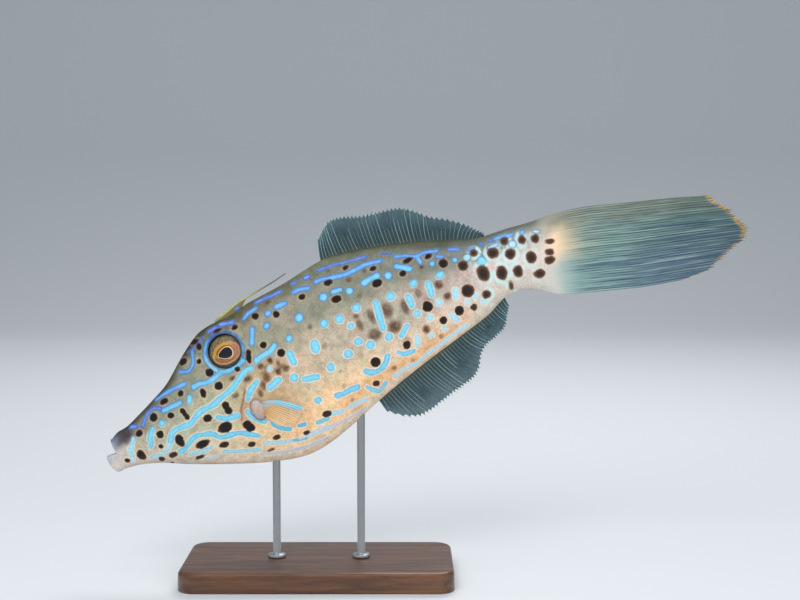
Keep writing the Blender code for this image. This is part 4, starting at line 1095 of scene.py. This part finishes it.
def buildBackFins():
    web = webMaterial("finWeb", backLook)
    rayPaint = rayMaterial("finRay", backLook["rays"], dull=backLook["dull"])
    steps = np.linspace(0, 1, backFins["steps"])
    for name, fin in (("dorsal", dorsal), ("anal", anal)):
        gaps = fin["rays"] - 1
        u, t = finGrid(fin["rays"], backFins["rows"])
        edge = -backFins["edge"] - backFins["notch"] * scallop(u * gaps) ** 0.8
        spots = backFinSpot(fin, u, t, edge)
        root = np.maximum(1 - t / backFins["rootShare"], 0)
        half = backFins["half"] + backFins["rootHalf"] * root ** 1.5
        sheet = sheetMesh(name + "_web", spots, half, {"outShare": t, "acrossShare": u})
        dress(sheet, web, "fin", name + "_fin")
        chance = np.random.default_rng(fin["seed"])
        laid = []
        for k in range(fin["rays"]):
            across = np.clip(k / gaps + chance.normal(0, backFins["bend"]) * steps ** 2, 0, 1)
            path = backFinSpot(fin, across, steps, chance.uniform(*backFins["longer"]))
            radius = (backFins["radius"] - backFins["taper"] * steps) * chance.uniform(*backFins["thicker"])
            laid.append((path, radius, {"outShare": steps, "rayTone": chance.uniform(0, 1) ** 1.5}))
        dress(layRays(name + "_rays", laid, rayPaint), rayPaint, "fin", name + "_fin")
    print("back fins made")


def tailMaterial(name, laidRays=False):
    material, shader = newMaterial(name)
    along, out, up = (field(key) for key in ("alongBody", "outShare", "acrossShare"))
    colour = tailTone(along, up)
    if laidRays:
        own = blend(spread(field("rayTone"), 0.4, 0.6), tailLook["slate"], tailLook["light"])
        colour = blend(times(spread(along, 432.0, 470.0), 0.55), colour, own)
    # the hind edge is gold above and fades below
    near = scaled(up, 0.008, out)
    gap = spread(streakOf(up, along, 70.0, 0.04), 0.42, 0.58, 0.05, 1.0)
    tip = times(spread(near, 0.97, 0.993), spread(up, 0.1, 0.45, 0.4, 1.0), gap)
    colour = blend(tip, colour, tailLook["gold"])
    connect(shader, {"Base Color": colour, "Roughness": 0.48, "Specular IOR Level": 0.35})
    if not laidRays:
        connect(shader, {"Alpha": spread(along, 470.0, 600.0, 1.0, 0.9)})
    return material


def tailHalf(s):
    # half the tail fin's thickness, which thins out behind its root
    return 0.18 + 0.82 * ease((478 - s) / 40)


def buildCaudal():
    tips = caudal["rays"]
    v, t = finGrid(tips, caudal["rows"])
    chance = np.random.default_rng(caudal["seed"])
    # two neighbouring rays end alike, each with eight columns
    ends = np.repeat(chance.uniform(*caudal["longer"], tips // 2), 16)
    edge = np.append(ends, ends[-1])[:, None] - caudal["notch"] * scallop(v * tips - 0.5) ** 0.8
    spots = caudalSpot(v, t, edge)
    # the fin's root starts inside the tail's flesh and comes out of it just before its end
    s = spots[..., 0]
    half = tailHalf(s) * (0.35 + 0.65 * np.sqrt(np.clip(1 - (2 * v - 1) ** 2, 0, 1)))
    sunk = np.minimum(half, 0.7 * sideWidth(s, spots[..., 1]) + 0.05)
    half = np.where(s < caudal["sunkTo"], sunk, half)
    spots[..., 1] += (0.5 - v) * 1.6 * (1 - ease((s - 424) / 8))
    sheet = sheetMesh("tail_web", spots, half, {"outShare": t, "alongBody": s, "acrossShare": v})
    dress(sheet, tailMaterial("tailWeb"), "fin", "caudal_fin")
    steps = np.linspace(0.03, 1, caudal["steps"])
    laid = []
    for k in range(tips):
        height = (k + 0.5) / tips
        path = caudalSpot(height, steps, ends[k * 8] + 0.6)
        radius = np.minimum(tailHalf(path[:, 0]) * 0.9, caudal["radius"]) * (0.5 + 0.5 * ease(steps / 0.2))
        radius = radius * chance.uniform(*caudal["thicker"]) + 0.02
        laid.append((path, radius, {"outShare": steps, "alongBody": path[:, 0], "acrossShare": height,
                                    "rayTone": chance.uniform(0, 1)}))
    rayPaint = tailMaterial("tailRay", True)
    dress(layRays("tail_rays", laid, rayPaint), rayPaint, "fin", "caudal_fin")
    print("tail fin made")


def buildPectorals():
    web = webMaterial("pectoralWeb", fanLook)
    rayPaint = rayMaterial("pectoralRay", fanLook["rays"])
    u, t = finGrid(fan["rays"], fan["rows"], fan["inside"])
    steps, shown = t[0], np.maximum(t, 0)
    for name, side in sides:
        spots = fanSpot(side, u, t, -scallop(u * (fan["rays"] - 1)))
        band = np.abs(flatDistance(spots[..., 0], spots[..., 1], fan["band"])) - fan["bandHalf"]
        fields = {"outShare": shown, "acrossShare": u, "bandField": band}
        sheet = sheetMesh("pectoral_web_" + name, spots, fan["half"], fields)
        dress(sheet, web, "pectoral", "pectoral_fin_" + name)
        radius = fan["radius"] - fan["taper"] * shown[0]
        laid = [(fanSpot(side, (k + 0.5) / fan["rays"], steps * 0.99, -fan["shorter"]), radius,
                 {"outShare": steps}) for k in range(fan["rays"])]
        made = layRays("pectoral_rays_" + name, laid, rayPaint)
        dress(made, rayPaint, "pectoral", "pectoral_fin_" + name)
    print("pectoral fins made")


# Folded first dorsal spine, off the nape on a low web of skin

spine = {
    "line": [(131, .6), (138, 3.2), (149, 5.1), (164, 4.9), (186, 5.6), (205, 6.8)],
    "radius": 1.4, "tip": .3, "ahead": 1.5, "rows": 240, "barbs": 240.0, "webTo": 166.0, "free": 0.7,
    "mark": (153.2, 70.4, 2.4, 1.3), "web": [(0, 92, 88, 60), (1, 118, 112, 76)],
    "tones": [(0, 112, 110, 76), (.12, 164, 164, 112), (.5, 158, 158, 108), (.75, 104, 104, 78),
              (1, 54, 56, 48)],
}


def napeMaterial():
    material, shader = newMaterial("napeWeb")
    colour = ramp(field("outShare"), spine["web"])
    # a mark on the web, in the violet that is painted light on marks high on the body
    colour = blend(spread(field("markShare"), 1.3, 0.6), colour, skinLook["topLightViolet"])
    connect(shader, {"Base Color": colour, "Roughness": 0.5, "Specular IOR Level": 0.3})
    return material


def buildSpine():
    root, last = spine["line"][0][0], spine["line"][-1][0]
    first = root - spine["ahead"]
    steps = np.linspace(0, 1, spine["rows"])
    s = first + (last - first) * steps
    middle, half, _ = sectionAt(s)
    lift = smoothLine(spine["line"], s) - 1.6 * ease((root + 1 - s) / 2.5)
    radius = spine["tip"] + (spine["radius"] - spine["tip"]) * (1 - steps) ** 0.8
    # fine barbs all along it
    radius = radius * (1 + 0.08 * np.sin(steps * spine["barbs"])) * (0.55 + 0.45 * ease(steps / 0.06))
    path = np.stack([s, middle + half + lift, np.zeros_like(s)], axis=-1)
    material = rayMaterial("spinePaint", spine["tones"], 0.5)
    made = layRays("nape_spine", [(path, radius, {"outShare": steps})], material, around=16)
    dress(made, material, "skin_head", "first_dorsal_spine")
    u, t = np.linspace(0, 1, 90)[:, None], np.linspace(0, 1, 12)[None, :]
    s = root + (spine["webTo"] - root) * u + 0 * t
    middle, half, _ = sectionAt(s)
    rise = smoothLine(spine["line"], s)
    low = -1 + (rise + 0.5) * ease((u - spine["free"]) / (1 - spine["free"])) ** 0.8
    h = middle + half + low + (rise - low) * t
    markS, markH, markAlong, markUp = spine["mark"]
    fields = {"outShare": t, "markShare": np.hypot((s - markS) / markAlong, (h - markH) / markUp)}
    thick = 0.2 + 0.6 * (1 - t) ** 2 * (1 - u)
    sheet = sheetMesh("nape_web", np.stack([s, h, 0 * s], axis=-1), thick, fields)
    dress(sheet, napeMaterial(), "skin_head", "first_dorsal_spine")
    print("spine made")


# Stand: base and rods. The collar's rings are (radius from its rim, height), the flare's (radius, height)

stand = {
    "bevel": 4.0, "corner": 16.0, "cornerSteps": 10, "foot": 0.8, "leastCorner": 1.0, "sharp": 40.0,
    "wood": paint(58, 36, 24), "woodLight": paint(104, 68, 44), "woodPore": paint(34, 20, 14),
    "steel": paint(192, 193, 196), "steelLight": paint(202, 203, 205),
    "rod": 3.5, "rodTip": 3.1, "rodChamfer": 0.5, "gap": 0.2, "around": 48,
    "collar": [(-0.6, 0), (0, 0.6), (0, 2.2), (-0.4, 2.8), (-1.2, 3.1)],
    "flare": [(4.6, 3.1), (3.9, 3.5), (3.5, 4.4)],
}


def stretchedNoise(stretch, scale, detail, rough=0.5, swirl=0.0):
    mapping = addNode("ShaderNodeMapping", {"Vector": objectSpots(), "Scale": stretch})
    values = {"Vector": mapping.outputs[0], "Scale": scale, "Detail": detail, "Roughness": rough,
              "Distortion": swirl}
    return addNode("ShaderNodeTexNoise", values).outputs["Fac"]


def woodMaterial():
    material, shader = newMaterial("standWood")
    grain = stretchedNoise((1.2, 14.0, 14.0), 9.0, 8.0, 0.65, 0.6)
    pore = stretchedNoise((40.0, 900.0, 900.0), 1.0, 2.0)
    colour = blend(spread(grain, 0.3, 0.7), stand["wood"], stand["woodLight"])
    colour = blend(spread(pore, 0.62, 0.75, 0, 0.6), colour, stand["woodPore"])
    bump = addNode("ShaderNodeBump", {"Strength": 0.15, "Distance": 0.0003, "Height": pore})
    connect(shader, {"Base Color": colour, "Roughness": spread(pore, 0.3, 0.8, 0.32, 0.5),
                     "Coat Weight": 0.25, "Normal": bump.outputs[0]})
    return material


def steelMaterial():
    material, shader = newMaterial("rodSteel")
    brush = stretchedNoise((30.0, 30.0, 160.0), 1.0, 2.0)
    connect(shader, {"Base Color": blend(brush, stand["steel"], stand["steelLight"]), "Metallic": 1.0,
                     "Roughness": spread(brush, 0.2, 0.8, 0.27, 0.31)})
    return material


def roundedOutline(halfX, halfY, corner):
    points = []
    for cx, cy, start in ((1, 1, 0), (-1, 1, 90), (-1, -1, 180), (1, -1, 270)):
        for turn in np.radians(start + np.linspace(0, 90, stand["cornerSteps"] + 1)):
            points.append((cx * (halfX - corner) + corner * math.cos(turn),
                           cy * (halfY - corner) + corner * math.sin(turn)))
    return np.array(points)


def stackRings(name, rings):
    # closed solid from level rings of equal length, each an array of points in metres
    points = np.concatenate([*rings, [rings[0].mean(axis=0), rings[-1].mean(axis=0)]])
    obj = meshObject(name, points, ringFaces(len(rings), len(rings[0])))
    faceOut(obj)
    obj.data.set_sharp_from_angle(angle=math.radians(stand["sharp"]))
    return obj


def buildStand():
    low, high = (np.array(corner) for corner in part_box("stand_base"))
    middle, half = (low + high) / 2, (high - low) / 2
    bevel, foot = stand["bevel"] * mm, stand["foot"] * mm
    profile = [(foot, low[2]), (0.0, low[2] + foot)]
    profile += [(bevel * (1 - math.cos(a)), high[2] - bevel * (1 - math.sin(a)))
                for a in np.radians(np.arange(0, 91, 10))]
    rings = []
    for inset, z in profile:
        corner = max(stand["corner"] * mm - inset, stand["leastCorner"] * mm)
        outline = roundedOutline(half[0] - inset, half[1] - inset, corner)
        rings.append(np.column_stack([outline + middle[:2], np.full(len(outline), z)]))
    dress(stackRings("stand_plinth", rings), woodMaterial(), "base", "stand_base")
    steel = steelMaterial()
    foot = high[2] + stand["gap"] * mm
    turn = np.arange(stand["around"]) / stand["around"] * 2 * math.pi
    for node in ("stand_rod_front", "stand_rod_rear"):
        low, high = (np.array(corner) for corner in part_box(node))
        x, y = (low[:2] + high[:2]) / 2
        rim = (high[0] - low[0]) / 2 / mm
        shape = [(stand["rod"], 0), *((rim + wider, z) for wider, z in stand["collar"]), *stand["flare"]]
        shape = [(r * mm, foot + z * mm) for r, z in shape]
        shape += [(stand["rod"] * mm, high[2] - stand["rodChamfer"] * mm), (stand["rodTip"] * mm, high[2])]
        rings = [np.column_stack([x + r * np.cos(turn), y + r * np.sin(turn), np.full(len(turn), z)])
                 for r, z in shape]
        dress(stackRings(node.replace("stand_", "support_"), rings), steel, "rod", node)
    print("stand made")


# Studio: floor, lights and camera, in metres. A lamp is its name, place from the aim, width, height,
# power and whether shiny surfaces mirror it.

studio = {
    "half": 14.0, "front": -12.0, "back": 2.4, "curve": 1.6, "height": 6.0,
    "floor": (0.6, 0.62, 0.64, 1), "air": (0.78, 0.84, 0.9, 1), "airLight": 0.55,
    "lamps": [("keyLamp", (-0.5, -1.5, 1.2), 1.0, 1.0, 24.0, False),
              ("fillLamp", (0.7, -1.7, 0.33), 1.4, 0.7, 14.0, False),
              ("sheenLamp", (-0.3, -0.7, 1.9), 1.2, 1.2, 6.0, True),
              ("rimLamp", (0.3, 1.1, 1.3), 0.8, 0.8, 10.0, True),
              ("backdropLamp", (0.0, 1.9, 1.9), 1.6, 1.6, 26.0, False)],
}
view = {
    "distance": 1.3, "elevation": 4.0, "lens": 66.0, "reach": 50.0, "mmPerPixel": 0.886,
    "zeroPixel": (318.0, 581.0), "midPixel": (400.0, 300.0),
}


def lookingAt(aim, name, data, spot):
    # a lamp or camera at its spot from the aim, turned to it
    obj = addObject(name, data)
    obj.location = aim + Vector(spot)
    obj.rotation_euler = (aim - obj.location).to_track_quat("-Z", "Y").to_euler()
    return obj


def buildStudio():
    # the floor runs back and curves up into the backdrop
    back, curve = studio["back"], studio["curve"]
    profile = [(studio["front"], 0.0), (0.0, 0.0)]
    profile += [(back + curve * math.sin(a), curve * (1 - math.cos(a)))
                for a in np.radians(np.arange(0, 91, 5))]
    profile.append((back + curve, studio["height"]))
    corners = [(x, y, z) for y, z in profile for x in (-studio["half"], studio["half"])]
    faces = [(2 * k, 2 * k + 1, 2 * k + 3, 2 * k + 2) for k in range(len(profile) - 1)]
    floor = meshObject("studio_floor", corners, faces)
    material, shader = newMaterial("floorPaint")
    connect(shader, {"Base Color": studio["floor"], "Roughness": 0.7})
    floor.data.materials.append(material)
    world = bpy.data.worlds.new("studioAir")
    world.use_nodes = True
    connect(world.node_tree.nodes["Background"], {"Color": studio["air"], "Strength": studio["airLight"]})
    bpy.context.scene.world = world
    # aim is the middle of the picture on the fish's middle plane
    across, up = ((view["midPixel"][k] - view["zeroPixel"][k]) * view["mmPerPixel"] * mm for k in (0, 1))
    aim = Vector((across, 0, -up))
    for name, spot, wide, tall, power, mirrored in studio["lamps"]:
        light = bpy.data.lights.new(name, "AREA")
        light.shape = "RECTANGLE"
        light.size, light.size_y, light.energy = wide, tall, power
        lamp = lookingAt(aim, name, light, spot)
        lamp.visible_glossy = mirrored
        lamp.visible_camera = False
    lift, far = math.radians(view["elevation"]), view["distance"]
    camera = lookingAt(aim, "photoCamera", bpy.data.cameras.new("photoCamera"),
                       (0, -math.cos(lift) * far, math.sin(lift) * far))
    camera.data.lens = view["lens"]
    camera.data.clip_end = view["reach"]
    bpy.context.scene.camera = camera
    bpy.context.scene.view_settings.view_transform = "Standard"


dress(buildSkin(), skinMaterial(), "skin_body", "head", "trunk", "tail_peduncle")
buildEyes()
buildSpine()
buildBackFins()
buildCaudal()
buildPectorals()
buildStand()
buildStudio()
